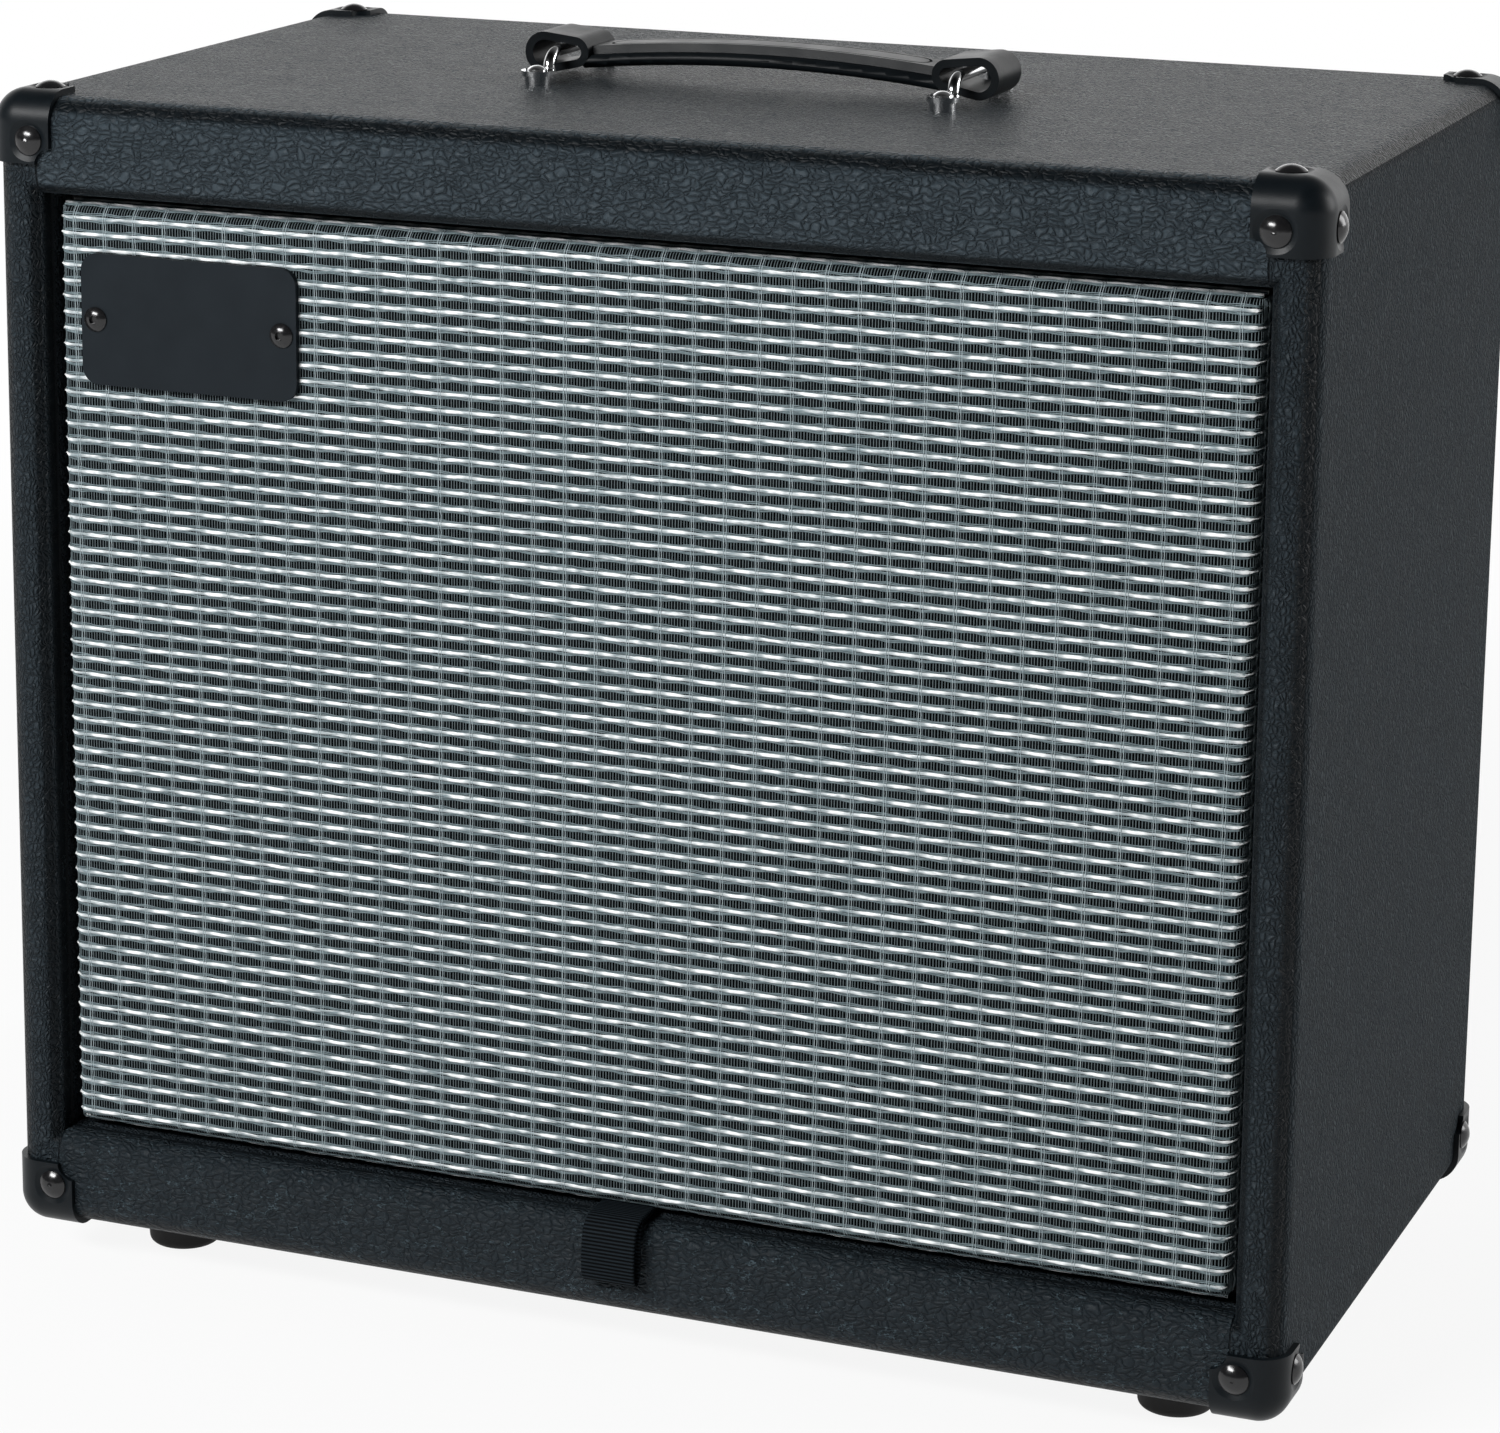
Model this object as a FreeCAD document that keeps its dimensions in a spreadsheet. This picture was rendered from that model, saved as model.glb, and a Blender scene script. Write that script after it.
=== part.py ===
import FreeCAD, Part
import math
import os
import re

import Sketcher

# Guitar speaker cabinet for one twelve-inch speaker, in millimetres.
# X runs to the viewer's right, Y to the back and Z up.
# The origin is on the floor, under the middle of the cabinet.

V = FreeCAD.Vector

SIZES = {
    # Wooden shell under its vinyl covering, without feet, corners and handle
    "cabinet_width": 460,
    "cabinet_height": 401,
    "cabinet_depth": 262,
    "covering_thickness": 0.8,
    "edge_radius": 9,
    "board_thickness": 15,
    "board_fit": 0.3,
    "rail_height": 16.6,
    "mouth_edge_radius": 6,
    "rear_edge_radius": 3,
    "batten_width": 18,
    "overrun": 6,
    # Baffle and back panel
    "baffle_thickness": 15,
    "cutout_margin": 59.5,
    "back_panel_thickness": 12,
    "back_panel_recess": 2.6,
    "back_panel_gap": 0.6,
    "back_screw_inset": 9,
    "back_screw_head_radius": 4,
    "back_screw_head_height": 2,
    "back_screw_rim": 0.5,
    "back_screw_radius": 1.75,
    "back_screw_bite": 14,
    # Grille
    "grille_recess": 7.5,
    "grille_gap": 3.4,
    "cloth_thickness": 0.8,
    "cloth_return": 14,
    "frame_thickness": 12,
    "frame_bar": 20,
    "frame_corner_radius": 5,
    "frame_edge_radius": 4,
    "tape_thickness": 1.5,
    "tape_width": 14,
    "tape_length": 60,
    "tape_spread": 105,
    "badge_block_drop": 14,
    "badge_block_margin": 8,
    # Badge plate on the cloth
    "badge_width": 81,
    "badge_height": 45,
    "badge_thickness": 2.2,
    "badge_corner_radius": 6,
    "badge_left_margin": 9.8,
    "badge_top_margin": 16,
    "badge_screw_inset": 5.4,
    "badge_screw_head_radius": 4.2,
    "badge_screw_head_height": 2.2,
    "badge_screw_rim": 0.5,
    "badge_screw_radius": 1.6,
    "badge_screw_length": 9,
    "badge_socket_radius": 1.5,
    "badge_socket_depth": 1.3,
    # Webbing loop that pulls the grille out
    "tab_width": 20,
    "webbing_thickness": 1.2,
    "tab_loop_gap": 4.8,
    "tab_stand_off": 0.4,
    "tab_floor_height": 13,
    "tab_pivot_reach": 0.8,
    "tab_tail_gap": 0.3,
    "tab_tail_height": 12,
    # Moulded corner protectors
    "corner_reach": 22.5,
    "corner_thickness": 2,
    "corner_scallop_radius": 5.5,
    "corner_screw_inset": 14.5,
    "corner_dimple_radius": 5.4,
    "corner_dimple_rim_radius": 7.2,
    "corner_dimple_depth": 0.7,
    "corner_screw_head_radius": 5,
    "corner_screw_head_height": 2.6,
    "corner_screw_rim": 0.6,
    "corner_screw_radius": 1.75,
    "corner_screw_length": 12,
    # Rubber feet
    "foot_height": 16,
    "foot_radius": 14,
    "foot_tread_radius": 12.8,
    "foot_tread_rounding": 2.6,
    "foot_inset_x": 45,
    "foot_inset_y": 40,
    "foot_bore_radius": 6.4,
    "foot_bore_depth": 8,
    "foot_washer_fit": 0.4,
    "foot_washer_thickness": 1,
    "foot_screw_head_radius": 4.4,
    "foot_screw_head_height": 2.8,
    "foot_screw_rim": 0.6,
    "foot_screw_radius": 2,
    "foot_screw_bite": 12.2,
    # Strap handle
    "strap_length": 173,
    "strap_width": 24,
    "strap_wall": 2.8,
    "loop_outer_radius": 7.2,
    "loop_inner_radius": 5.4,
    "loop_run": 11.2,
    "loop_end_rise": 0.6,
    "loop_bottom_rise": 1.3,
    "grip_thickness": 7.3,
    "grip_end_rise": 3.6,
    "grip_arch_rise": 3.8,
    "grip_lap": 2.1,
    "grip_roll_radius": 2.2,
    "grip_waist": 1.2,
    "grip_panel_width": 15,
    "grip_groove_length": 117,
    "grip_groove_width": 12.4,
    "grip_groove_cut": 1,
    "grip_groove_depth": 0.6,
    "grip_groove_reach": 1.4,
    # Bent-rod bails that carry the handle
    "bail_rod_radius": 2.1,
    "bail_setback": 13,
    "bail_foot_run": 0.6,
    "bail_top_gap": 0.6,
    "bail_post_reach": 21,
    "bail_eye_reach": 31,
    "bail_eye_radius": 5.6,
    "bail_eye_thickness": 1.8,
    "bush_height": 3.2,
    "bush_radius": 4.6,
    "bail_screw_head_radius": 3.4,
    "bail_screw_head_height": 1.8,
    "bail_screw_rim": 0.4,
    "bail_screw_radius": 1.75,
    "bail_screw_length": 17,
    # Twelve-inch speaker: depths are counted from the front of its flange
    "gasket_thickness": 3,
    "gasket_setback": 1,
    "gasket_width": 12.5,
    "flange_clearance": 2,
    "basket_thickness": 1.6,
    "basket_lip_inset": 10,
    "basket_shoulder_draft": 3,
    "basket_shoulder_depth": 18,
    "basket_waist_radius": 72,
    "basket_waist_clearance": 10,
    "basket_neck_height": 14,
    "spider_ledge_width": 16,
    "basket_floor_hole_radius": 30,
    "window_shoulder_margin": 7,
    "window_waist_margin": 7,
    "window_inner_width": 38,
    "window_outer_width": 66,
    "cone_depth": 50,
    "cone_thickness": 1,
    "suspension_gap": 0.3,
    "surround_thickness": 0.7,
    "surround_width": 5,
    "surround_roll_radius": 1.35,
    "dust_cap_radius": 31,
    "dust_cap_rise": 11,
    "dust_cap_thickness": 0.8,
    "coil_inner_radius": 25.1,
    "coil_thickness": 1,
    "coil_gap": 0.7,
    "coil_lap": 4,
    "coil_length": 38,
    "spider_thickness": 0.8,
    "spider_fold_height": 1.6,
    "spider_fold_pitch": 5.2,
    "spider_rim_inset": 2,
    "top_plate_radius": 62,
    "top_plate_thickness": 8,
    "magnet_radius": 78,
    "magnet_setback": 9.2,
    "magnet_thickness": 20,
    "back_plate_radius": 68,
    "back_plate_thickness": 8,
    "pole_drop": 1,
    "speaker_bolt_head_radius": 5,
    "speaker_bolt_head_height": 2.8,
    "speaker_bolt_rim": 0.6,
    "speaker_bolt_radius": 2.5,
    "speaker_bolt_tail": 4.4,
    "speaker_nut_radius": 4.6,
    "speaker_nut_thickness": 4,
    "terminal_width": 40,
    "terminal_height": 16,
    "terminal_thickness": 2,
    "terminal_lug_width": 5,
    "terminal_lug_length": 7,
    "terminal_lug_thickness": 0.8,
    "terminal_lug_spread": 15,
    "tinsel_radius": 0.8,
    "tinsel_cone_radius": 52,
    "tinsel_bend_radius": 5,
    "tinsel_slack": 7,
    # Recessed jack dish in the back panel
    "dish_width": 104,
    "dish_height": 62,
    "dish_lip": 9,
    "dish_lip_thickness": 2.4,
    "dish_wall": 2.4,
    "dish_depth": 24,
    "dish_corner_radius": 6,
    "dish_fit": 0.5,
    "dish_centre_height": 92,
    "dish_screw_inset": 4.8,
    "dish_screw_head_radius": 2.9,
    "dish_screw_head_height": 1.6,
    "dish_screw_rim": 0.3,
    "dish_screw_radius": 1.4,
    "dish_screw_length": 11,
    "jack_spacing": 40,
    "jack_bore_radius": 3.2,
    "jack_bushing_radius": 4.7,
    "jack_bushing_length": 9,
    "jack_body_width": 18,
    "jack_body_depth": 24,
    "jack_bore_depth": 30,
    "jack_lug_width": 4,
    "jack_lug_length": 7,
    "jack_lug_thickness": 0.8,
    "jack_lug_spread": 5,
    "jack_nut_radius": 7,
    "jack_nut_thickness": 2.6,
    # Twin lead from the jack to the speaker
    "lead_radius": 1.6,
    "lead_floor_clearance": 0.3,
    "lead_end_gap": 0.3,
}

# Shares and counts
SCREW_TIP_SHARE = 2.0
FINGERS = 11
BACK_SCREWS_ACROSS = 4
BACK_SCREWS_DOWN = 3
SPEAKER_BOLTS = 8
SURROUND_ROLLS = 2
SPIDER_FOLDS = 5
NUT_SIDES = 6
BEND_SHARE = 0.45

# Edges are told apart at this distance
NEAR = 1e-4

# Places worked out from the sizes
PLACES = {
    "right": "cabinet_width / 2",
    "front": "-cabinet_depth / 2",
    "back": "cabinet_depth / 2",
    "underside": "foot_height",
    "top": "foot_height + cabinet_height",
    "middle": "foot_height + cabinet_height / 2",
    "wood_right": "right - covering_thickness",
    "wood_front": "front + covering_thickness",
    "wood_back": "back - covering_thickness",
    "wood_bottom": "underside + covering_thickness",
    "wood_top": "top - covering_thickness",
    "cavity_right": "wood_right - board_thickness",
    "cavity_bottom": "wood_bottom + board_thickness",
    "cavity_top": "wood_top - board_thickness",
    "rail_bottom": "cavity_bottom + rail_height",
    "rail_top": "cavity_top - rail_height",
    "mouth_right": "cavity_right - covering_thickness",
    "mouth_bottom": "rail_bottom + covering_thickness",
    "mouth_top": "rail_top - covering_thickness",
    "cutout_radius": "cabinet_height / 2 - cutout_margin",
    "grille_right": "mouth_right - grille_gap",
    "grille_bottom": "mouth_bottom + grille_gap",
    "grille_top": "mouth_top - grille_gap",
    "cloth_front": "front + grille_recess",
    "frame_front": "cloth_front + cloth_thickness",
    "frame_back": "frame_front + frame_thickness",
    "frame_right": "grille_right - cloth_thickness",
    "frame_bottom": "grille_bottom + cloth_thickness",
    "frame_top": "grille_top - cloth_thickness",
    "hook_front": "frame_back + cloth_thickness",
    "loop_front": "hook_front + tape_thickness",
    "baffle_front": "loop_front + tape_thickness",
    "baffle_back": "baffle_front + baffle_thickness",
    "back_panel_back": "back - back_panel_recess",
    "back_panel_front": "back_panel_back - back_panel_thickness",
    "back_panel_right": "mouth_right - back_panel_gap",
    "back_panel_bottom": "cavity_bottom + covering_thickness + back_panel_gap",
    "back_panel_top": "cavity_top - covering_thickness - back_panel_gap",
    "badge_left": "badge_left_margin - grille_right",
    "badge_top": "grille_top - badge_top_margin",
    "badge_middle": "badge_top - badge_height / 2",
    "badge_front": "cloth_front - badge_thickness",
    "badge_right": "badge_left + badge_width",
    "back_screw_length": "back_panel_thickness + back_screw_bite",
    "corner_front": "front - corner_thickness",
    "corner_right": "right + corner_thickness",
    "corner_top": "top + corner_thickness",
    "foot_x": "right - foot_inset_x",
    "foot_y": "foot_inset_y - cabinet_depth / 2",
    "foot_washer_radius": "foot_bore_radius - foot_washer_fit",
    "foot_washer_bottom": "foot_bore_depth - foot_washer_thickness",
    "foot_screw_length": "foot_height - foot_washer_bottom + covering_thickness + foot_screw_bite",
    "strap_bottom": "top + loop_bottom_rise",
    "loop_middle": "strap_bottom + loop_outer_radius",
    "loop_length": "loop_outer_radius + loop_run + loop_inner_radius",
    "loop_x": "strap_length / 2 - loop_outer_radius",
    "grip_length": "strap_length - 2 * loop_length + 2 * grip_lap",
    "bail_x": "strap_length / 2 - bail_setback",
    "loop_taper": "loop_outer_radius - loop_inner_radius - loop_end_rise",
    "loop_top_fall": "loop_taper * (bail_setback - loop_outer_radius) / loop_run",
    "bush_top": "top + bush_height",
    "eye_top": "bush_top + bail_eye_thickness",
    "bar_height": "loop_middle + loop_outer_radius - strap_wall - loop_top_fall - bail_rod_radius - bail_top_gap",
    "bail_bend_radius": "bar_height - bush_top - bail_foot_run",
    "flange_front": "baffle_back + gasket_thickness",
    "flange_back": "flange_front + basket_thickness",
    "gasket_inner_radius": "cutout_radius + gasket_setback",
    "flange_radius": "gasket_inner_radius + gasket_width",
    "speaker_bolt_circle_radius": "gasket_inner_radius + gasket_width / 2",
    "speaker_bolt_length": "flange_back - baffle_front + speaker_nut_thickness + speaker_bolt_tail",
    "surround_rim_radius": "cutout_radius",
    "basket_lip_radius": "cutout_radius - basket_lip_inset",
    "basket_shoulder_radius": "basket_lip_radius - basket_shoulder_draft",
    "window_outer_radius": "basket_shoulder_radius - window_shoulder_margin",
    "window_inner_radius": "basket_waist_radius + window_waist_margin",
    "spider_ledge_radius": "basket_waist_radius - spider_ledge_width",
    "spider_rim_radius": "basket_waist_radius - spider_rim_inset",
    "basket_waist_depth": "cone_depth + basket_waist_clearance",
    "basket_floor_depth": "basket_waist_depth + basket_neck_height",
    "cone_rim_radius": "basket_lip_radius - surround_width",
    "coil_radius": "coil_inner_radius + coil_thickness",
    "cone_neck_radius": "coil_radius + suspension_gap",
    "coil_top_depth": "cone_depth - coil_lap",
    "top_plate_bore_radius": "coil_radius + coil_gap",
    "pole_radius": "coil_inner_radius - coil_gap",
    "magnet_bore_radius": "top_plate_bore_radius + magnet_setback",
    "top_plate_depth": "basket_floor_depth + basket_thickness",
    "magnet_depth": "top_plate_depth + top_plate_thickness",
    "back_plate_depth": "magnet_depth + magnet_thickness",
    "dish_middle": "underside + dish_centre_height",
    "dish_floor_back": "back_panel_back - dish_depth",
    "dish_floor_front": "dish_floor_back - dish_wall",
    "tub_right": "dish_width / 2 - dish_lip",
    "tub_half_height": "dish_height / 2 - dish_lip",
    "jack_front": "dish_floor_front - jack_body_depth",
    "tab_back": "front - tab_stand_off",
    "tab_depth": "tab_loop_gap + 2 * webbing_thickness",
    "tab_bottom": "underside + tab_floor_height",
    "tab_neck_top": "grille_bottom",
    "tab_neck_bottom": "tab_neck_top - 2 * webbing_thickness",
    "tab_pivot_y": "cloth_front - tab_pivot_reach",
    "tab_tail_front": "tab_pivot_y + webbing_thickness + tab_tail_gap",
}

WORD = re.compile(r"[a-z][a-z_0-9]*")
AXES = {"X": V(1, 0, 0), "Y": V(0, 1, 0), "Z": V(0, 0, 1)}

os.makedirs("parts", exist_ok=True)
doc = FreeCAD.newDocument("speaker_cabinet")
sheet = doc.addObject("Spreadsheet::Sheet", "Sizes")
for row, (name, value) in enumerate(SIZES.items(), 1):
    sheet.set(f"A{row}", name)
    sheet.set(f"B{row}", str(value))
    sheet.setAlias(f"B{row}", name)
doc.recompute()

nodes = []


def spell(formula, leaf):
    """Write a formula's places out as sizes, each size by leaf."""
    def word(match):
        name = match.group()
        if name in PLACES:
            return f"({spell(PLACES[name], leaf)})"
        return leaf(name)
    return WORD.sub(word, formula)


def number(formula):
    """The value of a formula of sizes and places."""
    text = spell(formula, lambda name: f"{sheet.get(name):.9f}")
    return FreeCAD.Units.parseQuantity(text).Value


def point(*formulas):
    return V(*[number(formula) for formula in formulas])


def bind(obj, prop, formula):
    """Tie a property to the sheet."""
    obj.setExpression(prop, spell(formula, lambda name: "Sizes." + name))


def node(obj, label):
    """Name a finished piece and keep it for the export."""
    obj.Label = label
    nodes.append(obj)
    return obj


def turn_to(direction):
    """Rotation that takes +Z to a signed axis such as -Y."""
    sign = 1 if direction[0] == "+" else -1
    return FreeCAD.Rotation(AXES["Z"], AXES[direction[1]] * sign)


def stand(obj, place, direction="+Z"):
    """Put an object's own origin at a place, its +Z along a direction."""
    obj.Placement = FreeCAD.Placement(point(*place), turn_to(direction))
    for letter, formula in zip("xyz", place):
        bind(obj, f".Placement.Base.{letter}", formula)
    return obj


def block(name, low, high):
    """Box between two corners."""
    obj = doc.addObject("Part::Box", name)
    for prop, first, last in zip(("Length", "Width", "Height"), low, high):
        bind(obj, prop, f"({last}) - ({first})")
    return stand(obj, low)


def rod(name, radius, length, place, direction):
    """Cylinder from a place along a direction."""
    obj = doc.addObject("Part::Cylinder", name)
    bind(obj, "Radius", radius)
    bind(obj, "Height", length)
    return stand(obj, place, direction)


def cut(name, base, *tools):
    """Base with the tools taken out, one after the other."""
    for count, tool in enumerate(tools, 1):
        obj = doc.addObject("Part::Cut", name if count == len(tools) else f"{name}_cut{count}")
        obj.Base = base
        obj.Tool = tool
        base = obj
    return base


def fuse(name, *members):
    obj = doc.addObject("Part::MultiFuse", name)
    obj.Shapes = members
    return obj


def common(name, *members):
    obj = doc.addObject("Part::MultiCommon", name)
    obj.Shapes = members
    return obj


def group(name, *members):
    """Separate solids in one node."""
    obj = doc.addObject("Part::Compound", name)
    obj.Links = members
    return obj


def mirrored(name, source, letter):
    """Copy across the cabinet's middle plane that is square to an axis."""
    obj = doc.addObject("Part::Mirroring", name)
    obj.Source = source
    obj.Normal = AXES[letter]
    obj.Base = point("0", "0", "middle")
    bind(obj, ".Base.z", "middle")
    return obj


def spread(source, letters):
    """The source and its copies across each plane in turn."""
    copies = [source]
    for letter in letters:
        copies += [mirrored(f"{copy.Name}_{letter}", copy, letter) for copy in copies]
    return copies


def rounded(name, base, radius, chosen):
    """Base with the chosen edges rounded."""
    doc.recompute()
    size = number(radius)
    obj = doc.addObject("Part::Fillet", name)
    obj.Base = base
    obj.Edges = [(i, size, size) for i, edge in enumerate(base.Shape.Edges, 1) if chosen(edge)]
    return obj


def runs_along(letter):
    """Choose straight edges along an axis."""
    def chosen(edge):
        ends = edge.Vertexes
        if len(ends) != 2:
            return False
        run = ends[1].Point - ends[0].Point
        return run.cross(AXES[letter]).Length < NEAR
    return chosen


def lies_at(letter, formula):
    """Choose edges that lie in a plane square to an axis."""
    level = number(formula)
    index = "XYZ".index(letter)

    def chosen(edge):
        box = edge.BoundBox
        low = (box.XMin, box.YMin, box.ZMin)[index]
        high = (box.XMax, box.YMax, box.ZMax)[index]
        return abs(low - level) < NEAR and abs(high - level) < NEAR
    return chosen


def outline(body, role, corners):
    """Closed sketch on a body's own plane; every corner is tied to the sheet.

    A corner is (x, y), or (x, y, radius, turn) where an arc arrives at it:
    turn is 1 for an anticlockwise arc and -1 for a clockwise one.
    """
    plane = next(feature for feature in body.Origin.OriginFeatures if feature.Role == role)
    sketch = body.newObject("Sketcher::SketchObject", f"{body.Name}_{role}")
    sketch.AttachmentSupport = (plane, [""])
    sketch.MapMode = "FlatFace"
    spots = [point(corner[0], corner[1], "0") for corner in corners]
    starts = []
    for i, corner in enumerate(corners):
        begin, end = spots[i - 1], spots[i]
        if len(corner) == 2:
            sketch.addGeometry(Part.LineSegment(begin, end))
            starts.append(1)
            continue
        chord = end - begin
        radius = number(corner[2])
        sagitta = radius - math.sqrt(radius ** 2 - (chord.Length / 2) ** 2)
        aside = V(chord.y, -chord.x, 0).normalize() * (sagitta * corner[3])
        sketch.addGeometry(Part.Arc(begin, (begin + end) / 2 + aside, end))
        starts.append(1 if corner[3] > 0 else 2)
    for i, corner in enumerate(corners):
        following = (i + 1) % len(corners)
        pair = (i, 3 - starts[i], following, starts[following])
        sketch.addConstraint(Sketcher.Constraint("Coincident", *pair))
        for kind, formula, axis in (("DistanceX", corner[0], -2), ("DistanceY", corner[1], -1)):
            spot = (i, 3 - starts[i])
            if formula == "0":
                sketch.addConstraint(Sketcher.Constraint("PointOnObject", *spot, axis))
                continue
            index = sketch.addConstraint(Sketcher.Constraint(kind, *spot, number(formula)))
            bind(sketch, f"Constraints[{index}]", formula)
        if len(corner) > 2:
            index = sketch.addConstraint(Sketcher.Constraint("Radius", i, number(corner[2])))
            bind(sketch, f"Constraints[{index}]", corner[2])
    return sketch


def turned(name, corners):
    """Body turned about its own Z axis; corners are (radius, height)."""
    body = doc.addObject("PartDesign::Body", name)
    sketch = outline(body, "XZ_Plane", corners)
    turn = body.newObject("PartDesign::Revolution", f"{name}_turn")
    turn.Profile = sketch
    turn.ReferenceAxis = (sketch, ["V_Axis"])
    turn.Angle = 360
    return body


def padded(name, role, corners, length):
    """Body padded evenly to both sides of one of its planes."""
    body = doc.addObject("PartDesign::Body", name)
    pad = body.newObject("PartDesign::Pad", f"{name}_pad")
    pad.Profile = outline(body, role, corners)
    bind(pad, "Length", length)
    pad.Midplane = True
    return body


def dome_radius(width, rise):
    """Formula of the sphere over a cap of a given half width and rise."""
    return f"(({width}) * ({width}) + ({rise}) * ({rise})) / (2 * ({rise}))"


def screw(name, kind):
    """Dome-headed screw: the head above its own z = 0, a pointed shank below."""
    head, high, rim = f"{kind}_head_radius", f"{kind}_head_height", f"{kind}_rim"
    shank, length = f"{kind}_radius", f"{kind}_length"
    return turned(name, [
        ("0", f"-{length}"),
        (shank, f"{SCREW_TIP_SHARE} * {shank} - {length}"),
        (shank, "0"),
        (head, "0"),
        (head, rim),
        ("0", high, dome_radius(head, f"{high} - {rim}"), 1),
    ])


def bent(spots, radius, bend_radius=None):
    """Round rod along straight runs with tangent bends, as large as the runs allow if no radius is given."""
    edges = []
    bends = []
    begin = spots[0]
    for before, corner, after in zip(spots, spots[1:], spots[2:]):
        into = (corner - before).normalize()
        out = (after - corner).normalize()
        angle = into.getAngle(out)
        run = min(corner.distanceToPoint(before), corner.distanceToPoint(after))
        bend = bend_radius or BEND_SHARE * run / math.tan(angle / 2)
        bends.append(round(bend, 1))
        setback = bend * math.tan(angle / 2)
        first = corner - into * setback
        last = corner + out * setback
        inward = (out - into).normalize()
        reach = bend / math.cos(angle / 2) - bend
        edges.append(Part.LineSegment(begin, first).toShape())
        edges.append(Part.Arc(first, corner + inward * reach, last).toShape())
        begin = last
    edges.append(Part.LineSegment(begin, spots[-1]).toShape())
    path = Part.Wire(edges)
    section = Part.Wire(Part.makeCircle(radius, spots[0], spots[1] - spots[0]))
    pipe = path.makePipeShell([section], True, False)
    full = math.pi * radius ** 2 * path.Length
    print(f"bend radii {bends}, volume {pipe.Volume / full:.4f} of section times length")
    return pipe


def feature(name, shape):
    obj = doc.addObject("Part::Feature", name)
    obj.Shape = shape
    return obj


# Fasteners

corner_screw_front = stand(screw("corner_screw_front", "corner_screw"), (
    "right - corner_screw_inset", "corner_front + corner_dimple_depth", "top - corner_screw_inset"), "-Y")
corner_screw_side = stand(screw("corner_screw_side", "corner_screw"), (
    "corner_right - corner_dimple_depth", "front + corner_screw_inset", "top - corner_screw_inset"), "+X")
corner_screw_top = stand(screw("corner_screw_top", "corner_screw"), (
    "right - corner_screw_inset", "front + corner_screw_inset", "corner_top - corner_dimple_depth"), "+Z")
corner_trio = group("corner_trio", corner_screw_front, corner_screw_side, corner_screw_top)
corner_screws = node(group("corner_screws", *spread(corner_trio, "XYZ")), "corner_screws")

foot_screw = stand(screw("foot_screw", "foot_screw"), (
    "foot_x", "foot_y", "foot_washer_bottom"), "-Z")
foot_screws = node(group("foot_screws", *spread(foot_screw, "XY")), "foot_screws")

bail_screw = stand(screw("bail_screw", "bail_screw"), ("bail_x", "-bail_eye_reach", "eye_top"))
bail_screws = node(group("bail_screws", *spread(bail_screw, "XY")), "bail_screws")


def back_screw_places():
    """Places along the four edges of the back panel, as shares of its inset spans."""
    across = [2 * i / (BACK_SCREWS_ACROSS - 1) - 1 for i in range(BACK_SCREWS_ACROSS)]
    down = [2 * i / (BACK_SCREWS_DOWN - 1) - 1 for i in range(BACK_SCREWS_DOWN)]
    return [(x, z) for x in across for z in down if abs(x) == 1 or abs(z) == 1]


back_screw_list = []
for x_share, z_share in back_screw_places():
    one = screw(f"back_screw_{len(back_screw_list)}", "back_screw")
    back_screw_list.append(stand(one, (
        f"{x_share} * (back_panel_right - back_screw_inset)", "back_panel_back",
        f"middle + {z_share} * ((back_panel_top - back_panel_bottom) / 2 - back_screw_inset)"), "+Y"))
back_panel_screws = node(group("back_panel_screws", *back_screw_list), "back_panel_screws")

dish_screw = stand(screw("dish_screw", "dish_screw"), (
    "dish_width / 2 - dish_screw_inset", "back_panel_back + dish_lip_thickness",
    "dish_middle + dish_height / 2 - dish_screw_inset"), "+Y")
dish_screw_low = stand(screw("dish_screw_low", "dish_screw"), (
    "dish_width / 2 - dish_screw_inset", "back_panel_back + dish_lip_thickness",
    "dish_middle - dish_height / 2 + dish_screw_inset"), "+Y")
dish_screws = node(group(
    "jack_dish_screws", *spread(dish_screw, "X"), *spread(dish_screw_low, "X")), "jack_dish_screws")

speaker_bolt_list = []
speaker_nut_list = []
for i in range(SPEAKER_BOLTS):
    angle = 2 * math.pi * (i + 0.5) / SPEAKER_BOLTS
    x_place = f"{math.cos(angle):.9f} * speaker_bolt_circle_radius"
    z_place = f"middle + {math.sin(angle):.9f} * speaker_bolt_circle_radius"
    bolt = screw(f"speaker_bolt_{i}", "speaker_bolt")
    speaker_bolt_list.append(stand(bolt, (x_place, "baffle_front", z_place), "-Y"))
    nut = doc.addObject("Part::Prism", f"speaker_nut_{i}")
    nut.Polygon = NUT_SIDES
    bind(nut, "Circumradius", "speaker_nut_radius")
    bind(nut, "Height", "speaker_nut_thickness")
    speaker_nut_list.append(stand(nut, (x_place, "flange_back", z_place), "+Y"))
speaker_bolts = node(group("speaker_bolts", *speaker_bolt_list), "speaker_bolts")
speaker_nuts = node(
    cut("speaker_nuts", group("speaker_nut_blanks", *speaker_nut_list), speaker_bolts), "speaker_nuts")


# Wooden shell: four finger-jointed boards and two front rails, under one vinyl skin

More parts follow.
